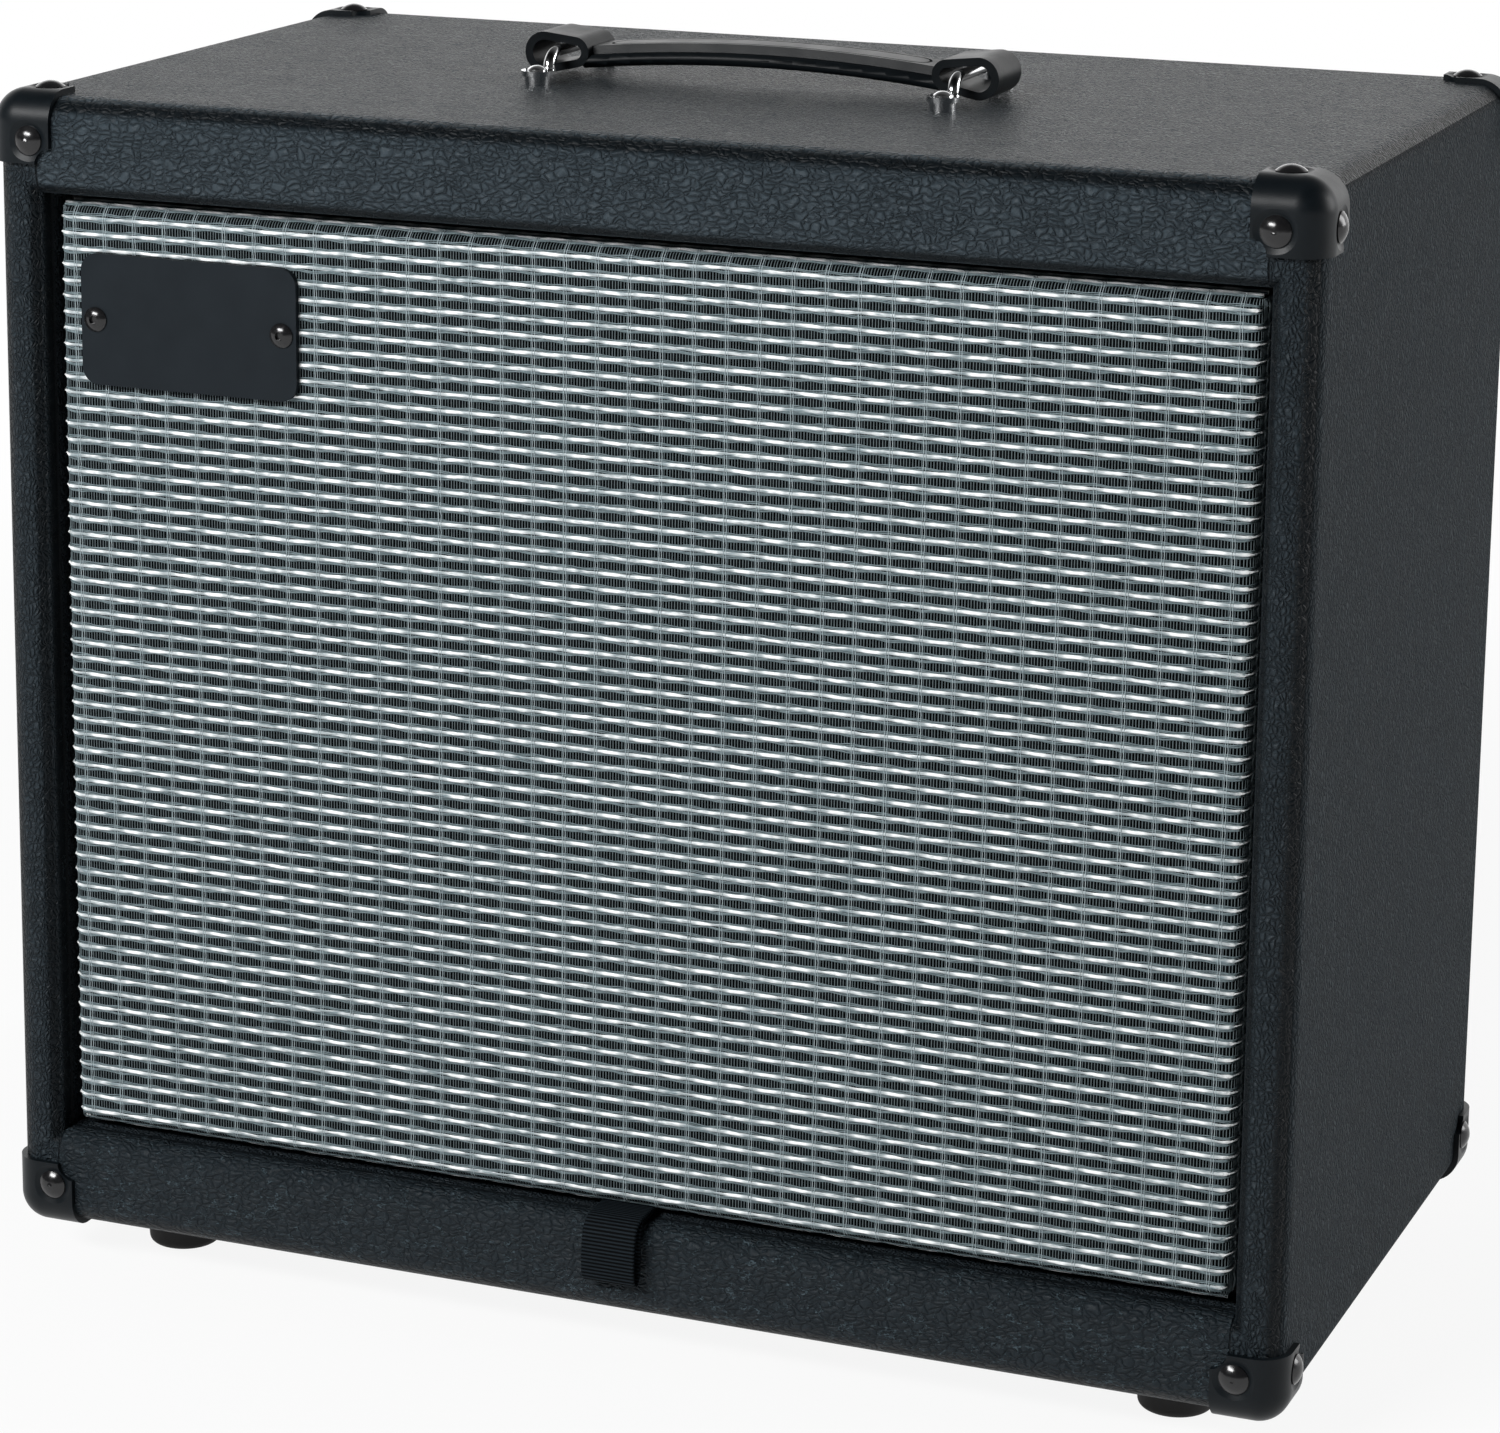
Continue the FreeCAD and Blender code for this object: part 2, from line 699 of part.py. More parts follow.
def shell(name, skin):
    """The boards and rails with a skin of a given thickness outside and in both mouths."""
    outside = block(
        f"{name}_outside",
        (f"-wood_right - {skin}", f"wood_front - {skin}", f"wood_bottom - {skin}"),
        (f"wood_right + {skin}", f"wood_back + {skin}", f"wood_top + {skin}"))
    radius = f"edge_radius - covering_thickness + {skin}"
    outside = rounded(f"{name}_edges", outside, radius, lambda edge: True)
    mouth = block(
        f"{name}_mouth",
        (f"{skin} - cavity_right", "front - overrun", f"rail_bottom + {skin}"),
        (f"cavity_right - {skin}", "baffle_front", f"rail_top - {skin}"))
    chamber = block(
        f"{name}_chamber",
        ("-cavity_right", "baffle_front", "cavity_bottom"),
        ("cavity_right", "back_panel_front", "cavity_top"))
    rear = block(
        f"{name}_rear",
        (f"{skin} - cavity_right", "back_panel_front", f"cavity_bottom + {skin}"),
        (f"cavity_right - {skin}", "back + overrun", f"cavity_top - {skin}"))
    hollow = cut(f"{name}_hollow", outside, mouth, chamber, rear)
    reach = number("cavity_right") + number("covering_thickness")
    top = number("cavity_top") + number("covering_thickness")

    def in_mouth(level):
        at_level = lies_at("Y", level)

        def chosen(edge):
            box = edge.BoundBox
            inside = box.XMax < reach and box.XMin > -reach and box.ZMax < top
            return inside and at_level(edge)
        return chosen
    front_level, back_level = f"wood_front - {skin}", f"wood_back + {skin}"
    eased = rounded(f"{name}_mouth_edges", hollow, f"mouth_edge_radius + {skin}", in_mouth(front_level))
    return rounded(f"{name}_rear_edges", eased, f"rear_edge_radius + {skin}", in_mouth(back_level))


wood = shell("wood", "0")
covered = shell("covered", "covering_thickness")


def fingers(name, first):
    """Every second finger of the four corner joints."""
    members = []
    step = "(wood_back - wood_front)"
    for side, x_low, x_high in (("left", "-wood_right", "-cavity_right"), ("right", "cavity_right", "wood_right")):
        for level, z_low, z_high in (("low", "wood_bottom", "cavity_bottom"), ("high", "cavity_top", "wood_top")):
            for i in range(first, FINGERS, 2):
                members.append(block(
                    f"{name}_{side}_{level}_{i}",
                    (x_low, f"wood_front + {i} * {step} / {FINGERS}", z_low),
                    (x_high, f"wood_front + {i + 1} * {step} / {FINGERS}", z_high)))
    return group(name, *members)


level_fingers = fingers("level_fingers", 0)
upright_fingers = fingers("upright_fingers", 1)


def board(label, low, high, other_fingers, *fasteners):
    """One board of the shell, between two corners, less its neighbours' fingers."""
    zone = block(f"{label}_zone", low, high)
    if other_fingers:
        zone = cut(f"{label}_fingers", zone, other_fingers)
    return node(cut(label, common(f"{label}_blank", wood, zone), *fasteners), label)


board("top_panel", ("-wood_right", "wood_front", "cavity_top"), ("wood_right", "wood_back", "wood_top"),
      upright_fingers, corner_screws, bail_screws)
board("bottom_panel", ("-wood_right", "wood_front", "wood_bottom"), ("wood_right", "wood_back", "cavity_bottom"),
      upright_fingers, corner_screws, foot_screws)
board("left_side_panel", ("-wood_right", "wood_front", "wood_bottom"), ("-cavity_right", "wood_back", "wood_top"),
      level_fingers, corner_screws)
board("right_side_panel", ("cavity_right", "wood_front", "wood_bottom"), ("wood_right", "wood_back", "wood_top"),
      level_fingers, corner_screws)
board("top_front_rail", ("-cavity_right", "wood_front", "rail_top"), ("cavity_right", "baffle_front", "cavity_top"),
      None, corner_screws)
board("bottom_front_rail", ("-cavity_right", "wood_front", "cavity_bottom"),
      ("cavity_right", "baffle_front", "rail_bottom"), None, corner_screws)
node(cut("vinyl_covering", covered, wood, corner_screws, foot_screws, bail_screws), "vinyl_covering")


def batten_ring(label, y_low, y_high, room):
    """Four strips round the inside of the shell, with room for what passes them."""
    members = [
        block(f"{label}_top", ("-cavity_right", y_low, "cavity_top - batten_width"),
              ("cavity_right", y_high, "cavity_top")),
        block(f"{label}_bottom", ("-cavity_right", y_low, "cavity_bottom"),
              ("cavity_right", y_high, "cavity_bottom + batten_width")),
        block(f"{label}_left", ("-cavity_right", y_low, "cavity_bottom + batten_width"),
              ("batten_width - cavity_right", y_high, "cavity_top - batten_width")),
        block(f"{label}_right", ("cavity_right - batten_width", y_low, "cavity_bottom + batten_width"),
              ("cavity_right", y_high, "cavity_top - batten_width")),
    ]
    return node(cut(label, group(f"{label}_strips", *members), room), label)


flange_room = rod("flange_room", "flange_radius + flange_clearance", "batten_width + 2 * overrun",
                  ("0", "baffle_back - overrun", "middle"), "+Y")
batten_ring("baffle_battens", "baffle_back", "baffle_back + batten_width", flange_room)
batten_ring("back_battens", "back_panel_front - batten_width", "back_panel_front", back_panel_screws)

# Baffle board with the speaker's cut-out

baffle_blank = block(
    "baffle_blank",
    ("board_fit - cavity_right", "baffle_front", "cavity_bottom + board_fit"),
    ("cavity_right - board_fit", "baffle_back", "cavity_top - board_fit"))
cutout = rod("cutout", "cutout_radius", "baffle_thickness + 2 * overrun",
             ("0", "baffle_front - overrun", "middle"), "+Y")
node(cut("baffle_board", baffle_blank, cutout, speaker_bolts), "baffle_board")

# Back panel with the opening for the jack dish

back_blank = block(
    "back_blank",
    ("-back_panel_right", "back_panel_front", "back_panel_bottom"),
    ("back_panel_right", "back_panel_back", "back_panel_top"))
dish_opening = block(
    "dish_opening",
    ("-tub_right - dish_wall - dish_fit", "back_panel_front - overrun",
     "dish_middle - tub_half_height - dish_wall - dish_fit"),
    ("tub_right + dish_wall + dish_fit", "back + overrun",
     "dish_middle + tub_half_height + dish_wall + dish_fit"))
dish_opening = rounded("dish_opening_corners", dish_opening, "dish_corner_radius", runs_along("Y"))
node(cut("back_panel", back_blank, dish_opening, back_panel_screws, dish_screws), "back_panel")

# Grille: a cut-out frame, the cloth wrapped round it and its hook-and-loop tapes

frame_blank = block(
    "frame_blank", ("-frame_right", "frame_front", "frame_bottom"), ("frame_right", "frame_back", "frame_top"))
frame_corners = rounded("frame_corners", frame_blank, "frame_corner_radius", runs_along("Y"))
frame_solid = rounded("frame_solid", frame_corners, "frame_edge_radius", lies_at("Y", "frame_front"))
frame_window = block(
    "frame_window",
    ("frame_bar - frame_right", "frame_front - overrun", "frame_bottom + frame_bar"),
    ("frame_right - frame_bar", "frame_back + overrun", "frame_top - frame_bar"))

badge_screw = stand(screw("badge_screw_left", "badge_screw"), (
    "badge_left + badge_screw_inset", "badge_front", "badge_middle"), "-Y")
badge_screw_right = stand(screw("badge_screw_right", "badge_screw"), (
    "badge_right - badge_screw_inset", "badge_front", "badge_middle"), "-Y")
badge_sockets = [
    rod(f"badge_socket_{side}", "badge_socket_radius", "badge_socket_depth + overrun",
        (place, "badge_front - badge_screw_head_height + badge_socket_depth", "badge_middle"), "-Y")
    for side, place in (("left", "badge_left + badge_screw_inset"),
                        ("right", "badge_right - badge_screw_inset"))]
badge_screw_blanks = group("badge_screw_blanks", badge_screw, badge_screw_right)
badge_screws = node(cut("badge_screws", badge_screw_blanks, group("badge_sockets", *badge_sockets)), "badge_screws")

badge_block = block(
    "badge_block", ("frame_bar - frame_right - overrun", "frame_front", "badge_middle - badge_block_drop"),
    ("badge_right - badge_screw_inset + badge_block_margin", "frame_back", "frame_top - frame_bar + overrun"))
frame_form = cut("frame_form", frame_solid, cut("frame_opening", frame_window, badge_block))
node(cut("grille_frame", frame_form, badge_screw_blanks), "grille_frame")

cloth_blank = block(
    "cloth_blank", ("-grille_right", "cloth_front", "grille_bottom"), ("grille_right", "hook_front", "grille_top"))
cloth_corners = rounded(
    "cloth_corners", cloth_blank, "frame_corner_radius + cloth_thickness", runs_along("Y"))
cloth_solid = rounded(
    "cloth_solid", cloth_corners, "frame_edge_radius + cloth_thickness", lies_at("Y", "cloth_front"))
cloth_window = block(
    "cloth_window",
    ("cloth_return - frame_right", "frame_back - overrun", "frame_bottom + cloth_return"),
    ("frame_right - cloth_return", "hook_front + overrun", "frame_top - cloth_return"))
node(cut("grille_cloth", cloth_solid, frame_solid, cloth_window, badge_screw_blanks), "grille_cloth")


def tapes(label, y_low, y_high):
    """Two lengths of tape along each side of the frame."""
    members = []
    for i, (side, level) in enumerate(((-1, -1), (-1, 1), (1, -1), (1, 1))):
        x_place = f"{side} * (frame_right - cloth_return / 2)"
        z_place = f"middle + {level} * tape_spread"
        members.append(block(
            f"{label}_upright_{i}", (f"{x_place} - tape_width / 2", y_low, f"{z_place} - tape_length / 2"),
            (f"{x_place} + tape_width / 2", y_high, f"{z_place} + tape_length / 2")))
        x_place = f"{side} * tape_spread"
        z_place = f"middle + {level} * ((frame_top - frame_bottom) / 2 - cloth_return / 2)"
        members.append(block(
            f"{label}_level_{i}", (f"{x_place} - tape_length / 2", y_low, f"{z_place} - tape_width / 2"),
            (f"{x_place} + tape_length / 2", y_high, f"{z_place} + tape_width / 2")))
    return node(group(label, *members), label)


tapes("grille_hook_tapes", "hook_front", "loop_front")
tapes("baffle_loop_tapes", "loop_front", "baffle_front")

# Badge plate, bare

badge_blank = block(
    "badge_blank", ("badge_left", "badge_front", "badge_top - badge_height"),
    ("badge_right", "cloth_front", "badge_top"))
badge_corners = rounded("badge_corners", badge_blank, "badge_corner_radius", runs_along("Y"))
node(cut("badge_plate", badge_corners, badge_screw_blanks), "badge_plate")

# Pull tab: a webbing loop that hangs in front of the bottom rail, and its tails under and behind the grille

def band(name, back_inset, radius, wide):
    """Round-ended upright bar in front of the bottom rail, padded across."""
    near, far = f"tab_back - {back_inset}", f"tab_back - tab_depth + {back_inset}"
    low, high = "tab_bottom + tab_depth / 2", "tab_neck_top - tab_depth / 2"
    return padded(name, "YZ_Plane", [
        (near, high),
        ("tab_back - tab_depth / 2", f"{high} + {radius}", radius, 1),
        (far, high, radius, 1),
        (far, low),
        ("tab_back - tab_depth / 2", f"{low} - {radius}", radius, 1),
        (near, low, radius, 1),
    ], wide)


tab_loop = band("tab_loop", "0", "tab_depth / 2", "tab_width")
tab_hole = band("tab_hole", "webbing_thickness", "tab_loop_gap / 2", "tab_width + 2 * overrun")
tab_neck = block(
    "tab_neck", ("-tab_width / 2", "tab_back - tab_depth / 2", "tab_neck_bottom"),
    ("tab_width / 2", "tab_pivot_y", "tab_neck_top"))
tab_bend = rod("tab_bend", "webbing_thickness", "tab_width",
               ("-tab_width / 2", "tab_pivot_y", "tab_neck_top - webbing_thickness"), "+X")
node(cut("pull_tab", fuse("tab_form", tab_loop, tab_neck, tab_bend), tab_hole), "pull_tab")

tail_back = "hook_front + webbing_thickness"
tail_level = block(
    "tail_level", ("-tab_width / 2", "tab_tail_front", "tab_neck_bottom"),
    ("tab_width / 2", tail_back, "tab_neck_top"))
tail_upright = block(
    "tail_upright", ("-tab_width / 2", "hook_front", "tab_neck_top"),
    ("tab_width / 2", tail_back, "tab_neck_top + tab_tail_height"))
node(fuse("tab_tails", tail_level, tail_upright), "tab_tails")

# Corner protectors: three-eared moulded shells, scalloped between the ears, with dimples for the screws

corner_blank = block(
    "corner_blank", ("right - corner_reach", "corner_front", "top - corner_reach"),
    ("corner_right", "front + corner_reach", "corner_top"))
corner_inside = block(
    "corner_inside", ("right - corner_reach - overrun", "front", "top - corner_reach - overrun"),
    ("right", "front + corner_reach + overrun", "top"))


def meets(*formulas):
    """Choose edges that end at a point."""
    spot = point(*formulas)

    def chosen(edge):
        return any(end.Point.distanceToPoint(spot) < NEAR for end in edge.Vertexes)
    return chosen


corner_outer = rounded(
    "corner_outer", corner_blank, "edge_radius + corner_thickness",
    meets("corner_right", "corner_front", "corner_top"))
corner_inner = rounded("corner_inner", corner_inside, "edge_radius", meets("right", "front", "top"))
corner_tools = []
for kind, inset, depth in (
        ("scallop", "corner_reach", "(corner_thickness + overrun)"), ("dimple", "corner_screw_inset", "corner_dimple_depth")):
    across, along, down = f"right - {inset}", f"front + {inset}", f"top - {inset}"
    for ear, place, direction in (
            ("front", (across, f"corner_front + {depth}", down), "-Y"),
            ("side", (f"corner_right - {depth}", along, down), "+X"),
            ("top", (across, along, f"corner_top - {depth}"), "+Z")):
        if kind == "scallop":
            tool = rod(f"corner_scallop_{ear}", "corner_scallop_radius", f"{depth} + overrun", place, direction)
        else:
            tool = stand(turned(f"corner_dimple_{ear}", [
                ("0", "0"),
                ("corner_dimple_radius", "0"),
                ("corner_dimple_rim_radius", depth),
                ("corner_dimple_rim_radius", "overrun"),
                ("0", "overrun"),
            ]), place, direction)
        corner_tools.append(tool)
corner_form = cut("corner_form", corner_outer, corner_inner, *corner_tools, corner_trio)
corner_names = [""]
for words in (("right", "left"), ("front", "back"), ("top", "bottom")):
    corner_names = [f"{old}{word}_" for word in words for old in corner_names]
for copy, name in zip(spread(corner_form, "XYZ"), corner_names):
    side, end, level = name.strip("_").split("_")
    node(copy, f"{end}_{level}_{side}_corner")

# Rubber feet with a steel washer under each screw

foot = stand(turned("foot", [
    ("foot_bore_radius", "0"),
    ("foot_tread_radius - foot_tread_rounding", "0"),
    ("foot_tread_radius", "foot_tread_rounding", "foot_tread_rounding", 1),
    ("foot_radius", "foot_height"),
    ("foot_screw_radius", "foot_height"),
    ("foot_screw_radius", "foot_bore_depth"),
    ("foot_bore_radius", "foot_bore_depth"),
]), ("foot_x", "foot_y", "0"))
washer = stand(turned("washer", [
    ("foot_screw_radius", "foot_washer_bottom"),
    ("foot_washer_radius", "foot_washer_bottom"),
    ("foot_washer_radius", "foot_bore_depth"),
    ("foot_screw_radius", "foot_bore_depth"),
]), ("foot_x", "foot_y", "0"))
for copy, name in zip(spread(foot, "XY"), ("front_right", "front_left", "back_right", "back_left")):
    node(copy, f"{name}_foot")
node(group("foot_washers", *spread(washer, "XY")), "foot_washers")

# Strap handle: an arched moulded grip with rolled edges between two flat loops

grip_radius = dome_radius("grip_length / 2", "grip_arch_rise")
roll = "grip_roll_radius"
grip = doc.addObject("PartDesign::Body", "grip")
grip_path = grip.newObject("Sketcher::SketchObject", "grip_path")
grip_path.AttachmentSupport = (next(f for f in grip.Origin.OriginFeatures if f.Role == "XZ_Plane"), [""])
grip_path.MapMode = "FlatFace"
grip_ends = [point(f"{sign}grip_length / 2", "0", "0") for sign in ("-", "")]
grip_path.addGeometry(Part.Arc(grip_ends[0], point("0", "grip_arch_rise", "0"), grip_ends[1]))
for end, sign in ((1, ""), (2, "-")):
    index = grip_path.addConstraint(
        Sketcher.Constraint("DistanceX", 0, end, number(f"{sign}grip_length / 2")))
    bind(grip_path, f"Constraints[{index}]", f"{sign}grip_length / 2")
    grip_path.addConstraint(Sketcher.Constraint("PointOnObject", 0, end, -1))
index = grip_path.addConstraint(Sketcher.Constraint("Radius", 0, number(grip_radius)))
bind(grip_path, f"Constraints[{index}]", grip_radius)
edge_y = "strap_width / 2 - grip_roll_radius"
waist_y = f"{edge_y} - grip_waist"
grip_section = outline(grip, "YZ_Plane", [
    (edge_y, "grip_arch_rise"),
    ("strap_width / 2", f"grip_arch_rise + {roll}", roll, 1),
    (edge_y, f"grip_arch_rise + 2 * {roll}", roll, 1),
    (waist_y, f"grip_arch_rise + 2 * {roll}"),
    ("grip_panel_width / 2", "grip_arch_rise + grip_thickness"),
    ("-grip_panel_width / 2", "grip_arch_rise + grip_thickness"),
    (f"-({waist_y})", f"grip_arch_rise + 2 * {roll}"),
    (f"-({edge_y})", f"grip_arch_rise + 2 * {roll}"),
    ("-strap_width / 2", f"grip_arch_rise + {roll}", roll, 1),
    (f"-({edge_y})", "grip_arch_rise", roll, 1),
])
doc.recompute()
grip_sweep = grip.newObject("PartDesign::AdditivePipe", "grip_sweep")
grip_sweep.Profile = grip_section
grip_sweep.Spine = (grip_path, ["Edge1"])
stand(grip, ("0", "0", "top + grip_end_rise"))


def slot(name, length, wide, high):
    """Round-ended bar along X, padded evenly up and down."""
    half, radius = f"({length} - {wide}) / 2", f"{wide} / 2"
    return padded(name, "XY_Plane", [
        (half, f"-{radius}"),
        (f"{half} + {radius}", "0", radius, 1),
        (half, radius, radius, 1),
        (f"-{half}", radius),
        (f"-{half} - {radius}", "0", radius, 1),
        (f"-{half}", f"-{radius}", radius, 1),
    ], high)


def tapered(name, big, small, wide):
    """Round-ended bar from the strap's end inwards to a smaller end, even to both sides of its own Y plane."""
    first, last = number(big), number(small)
    run = V(-number("loop_run"), 0, number("loop_end_rise"))
    heading = V(run).normalize()
    lean = math.degrees(math.acos((first - last) / run.Length))
    over, under = [FreeCAD.Rotation(AXES["Y"], angle).multVec(heading) for angle in (lean, -lean)]
    face = Part.Face(Part.Wire([
        Part.Arc(under * first, heading * -first, over * first).toShape(),
        Part.LineSegment(over * first, run + over * last).toShape(),
        Part.Arc(run + over * last, run + heading * last, run + under * last).toShape(),
        Part.LineSegment(run + under * last, under * first).toShape(),
    ]))
    reach = AXES["Y"] * number(wide)
    face.translate(reach / -2)
    return feature(name, face.extrude(reach))


loop_place = ("loop_x", "0", "loop_middle")
loops = spread(stand(
    tapered("right_loop", "loop_outer_radius", "loop_inner_radius", "strap_width"), loop_place), "X")
loop_holes = spread(stand(tapered(
    "right_loop_hole", "loop_outer_radius - strap_wall", "loop_inner_radius - strap_wall",
    "strap_width + 2 * overrun"), loop_place), "X")
groove_place = ("0", "0", "top + grip_end_rise + grip_thickness + overrun - grip_groove_reach")
groove_ring = cut("groove_ring", stand(slot(
    "groove_outside", "grip_groove_length", "grip_groove_width", "2 * overrun"), groove_place), stand(slot(
        "groove_inside", "(grip_groove_length - 2 * grip_groove_cut)", "(grip_groove_width - 2 * grip_groove_cut)",
        "4 * overrun"), groove_place))
lowered_grip = stand(group("lowered_grip", grip), ("0", "0", "-grip_groove_depth"))
groove = cut("grip_groove", groove_ring, lowered_grip)
node(cut("handle_strap", fuse("strap_form", grip, *loops), *loop_holes, groove), "handle_strap")

# Bails: bent rods with flattened feet, each on two polished bushes

for side, sign in (("right", ""), ("left", "-")):
    across = f"{sign}bail_x"
    bail_spots = [
        point(across, "-bail_post_reach", "bush_top"),
        point(across, "-bail_post_reach", "bar_height"),
        point(across, "bail_post_reach", "bar_height"),
        point(across, "bail_post_reach", "bush_top"),
    ]
    bail_members = [
        feature(f"{side}_bail_rod", bent(bail_spots, number("bail_rod_radius"), number("bail_bend_radius")))]
    for end, reaches in (("front", ("-bail_eye_reach", "-bail_post_reach")),
                         ("back", ("bail_eye_reach", "bail_post_reach"))):
        bail_members.append(rod(
            f"{side}_bail_eye_{end}", "bail_eye_radius", "bail_eye_thickness", (across, reaches[0], "bush_top"), "+Z"))
        near, far = reaches if end == "front" else reversed(reaches)
        bail_members.append(block(
            f"{side}_bail_tongue_{end}", (f"{across} - bail_rod_radius", near, "bush_top"),
            (f"{across} + bail_rod_radius", far, "eye_top")))
    node(cut(f"{side}_handle_bail", fuse(f"{side}_bail_form", *bail_members), bail_screws), f"{side}_handle_bail")
bush = stand(turned("bush", [
    ("bail_screw_radius", "0"),
    ("bush_radius", "0"),
    ("bush_radius", "bush_height"),
    ("bail_screw_radius", "bush_height"),
]), ("bail_x", "-bail_eye_reach", "top"))
node(group("bail_bushes", *spread(bush, "XY")), "bail_bushes")

# Speaker: its bodies are turned about the speaker's axis, with depth counted back from the flange

SPEAKER = ("0", "flange_front", "middle")


def speaker_piece(name, corners):
    return stand(turned(name, corners), SPEAKER, "+Y")


wall = "basket_thickness"
basket = speaker_piece("basket", [
    ("flange_radius", "0"),
    ("flange_radius", wall),
    (f"basket_lip_radius + {wall}", wall),
    (f"basket_shoulder_radius + {wall}", "basket_shoulder_depth"),
    (f"basket_waist_radius + {wall}", f"basket_waist_depth + {wall}"),
    (f"spider_ledge_radius + {wall}", f"basket_waist_depth + {wall}"),
    (f"spider_ledge_radius + {wall}", f"basket_floor_depth + {wall}"),
    ("basket_floor_hole_radius", f"basket_floor_depth + {wall}"),
    ("basket_floor_hole_radius", "basket_floor_depth"),
    ("spider_ledge_radius", "basket_floor_depth"),
    ("spider_ledge_radius", "basket_waist_depth"),
    ("basket_waist_radius", "basket_waist_depth"),
    ("basket_shoulder_radius", "basket_shoulder_depth"),
    ("basket_lip_radius", "0"),
])
window = outline(basket, "XY_Plane", [
    ("-window_inner_width / 2", "window_inner_radius"),
    ("window_inner_width / 2", "window_inner_radius"),
    ("window_outer_width / 2", "window_outer_radius"),
    ("-window_outer_width / 2", "window_outer_radius"),
])
doc.recompute()
whole_basket = basket.Shape.Volume
windows = basket.newObject("PartDesign::Pocket", "basket_window")
windows.Profile = window
windows.Type = "ThroughAll"
windows.Reversed = True
ring = basket.newObject("PartDesign::PolarPattern", "basket_windows")
ring.Originals = [windows]
ring.Axis = (window, ["N_Axis"])
ring.Occurrences = SPEAKER_BOLTS
basket.Tip = ring
doc.recompute()
assert basket.Shape.Volume < whole_basket, "the basket's windows cut nothing"
node(cut("speaker_basket", basket, speaker_bolts), "speaker_basket")

gasket = speaker_piece("gasket", [
    ("gasket_inner_radius", "-gasket_thickness"),
    ("flange_radius", "-gasket_thickness"),
    ("flange_radius", "0"),
    ("gasket_inner_radius", "0"),
])
node(cut("speaker_gasket", gasket, speaker_bolts), "speaker_gasket")

node(speaker_piece("speaker_cone", [
    ("cone_neck_radius", "cone_depth"),
    ("cone_rim_radius", "0"),
    ("cone_rim_radius", "cone_thickness"),
    ("cone_neck_radius", "cone_depth + cone_thickness"),
]), "speaker_cone")


def ringed(name, front, thickness):
    """Thin ring: a line of corners and arcs from its inner to its outer edge, and the same line behind it."""
    behind = [(corner[0], f"{corner[1]} + {thickness}") + corner[2:] for corner in front]
    corners = front + [behind[-1][:2]]
    for corner, arrived in zip(reversed(behind[:-1]), reversed(behind[1:])):
        corners.append(corner[:2] + ((arrived[2], -arrived[3]) if len(arrived) > 2 else ()))
    return speaker_piece(name, corners)


roll_width = f"(basket_lip_radius - cone_rim_radius) / {SURROUND_ROLLS} / 2"
surround_line = [("cone_rim_radius + suspension_gap", "-surround_thickness")]
for i in range(1, 2 * SURROUND_ROLLS + 1):
    surround_line.append((
        f"cone_rim_radius + suspension_gap + {i} * {roll_width}", "-surround_thickness",
        "surround_roll_radius", -1 if i % 2 else 1))
surround_line.append(("surround_rim_radius", "-surround_thickness"))
node(ringed("cone_surround", surround_line, "surround_thickness"), "cone_surround")

spider_inner = "cone_neck_radius"
spider_level = "basket_waist_depth - spider_thickness"
spider_line = [(spider_inner, spider_level)]
for i in range(1, 2 * SPIDER_FOLDS + 1):
    fold = f"{spider_level} - spider_fold_height" if i % 2 else spider_level
    spider_line.append((f"{spider_inner} + {i} * spider_fold_pitch / 2", fold))
spider_line.append(("spider_rim_radius", spider_level))
node(ringed("spider", spider_line, "spider_thickness"), "spider")

cap_seat = "cone_depth * (cone_rim_radius - dust_cap_radius) / (cone_rim_radius - cone_neck_radius)"
cap_sphere = dome_radius("dust_cap_radius", "dust_cap_rise")
node(speaker_piece("dust_cap", [
    ("0", f"{cap_seat} - dust_cap_rise - dust_cap_thickness"),
    ("dust_cap_radius", f"{cap_seat} - dust_cap_thickness", cap_sphere, 1),
    ("dust_cap_radius", cap_seat),
    ("0", f"{cap_seat} - dust_cap_rise", cap_sphere, -1),
]), "dust_cap")

node(speaker_piece("voice_coil", [
    ("coil_inner_radius", "coil_top_depth"),
    ("coil_radius", "coil_top_depth"),
    ("coil_radius", "coil_top_depth + coil_length"),
    ("coil_inner_radius", "coil_top_depth + coil_length"),
]), "voice_coil")


def ring_piece(label, inner, outer, depth, thickness):
    return node(speaker_piece(label, [
        (inner, depth), (outer, depth), (outer, f"{depth} + {thickness}"), (inner, f"{depth} + {thickness}"),
    ]), label)


ring_piece("top_plate", "top_plate_bore_radius", "top_plate_radius", "top_plate_depth", "top_plate_thickness")
ring_piece("magnet", "magnet_bore_radius", "magnet_radius", "magnet_depth", "magnet_thickness")
node(speaker_piece("back_plate", [
    ("0", "top_plate_depth + pole_drop"),
    ("pole_radius", "top_plate_depth + pole_drop"),
    ("pole_radius", "back_plate_depth"),
    ("back_plate_radius", "back_plate_depth"),
    ("back_plate_radius", "back_plate_depth + back_plate_thickness"),
    ("0", "back_plate_depth + back_plate_thickness"),
]), "back_plate")

# Terminal strip on the basket's lowest leg, and the flexible leads from it to the cone

slope = V(0, number("basket_waist_depth + basket_thickness - basket_shoulder_depth"),
          number("basket_shoulder_radius - basket_waist_radius"))
slope_angle = math.degrees(math.atan2(slope.y, slope.z))
slope.normalize()
leg_normal = V(0, slope.z, -slope.y)
leg_middle = (
    point("0", "flange_front", "middle")
    + (point("0", "basket_shoulder_depth", "-basket_shoulder_radius - basket_thickness")
       + point("0", "basket_waist_depth + basket_thickness", "-basket_waist_radius - basket_thickness")) / 2)


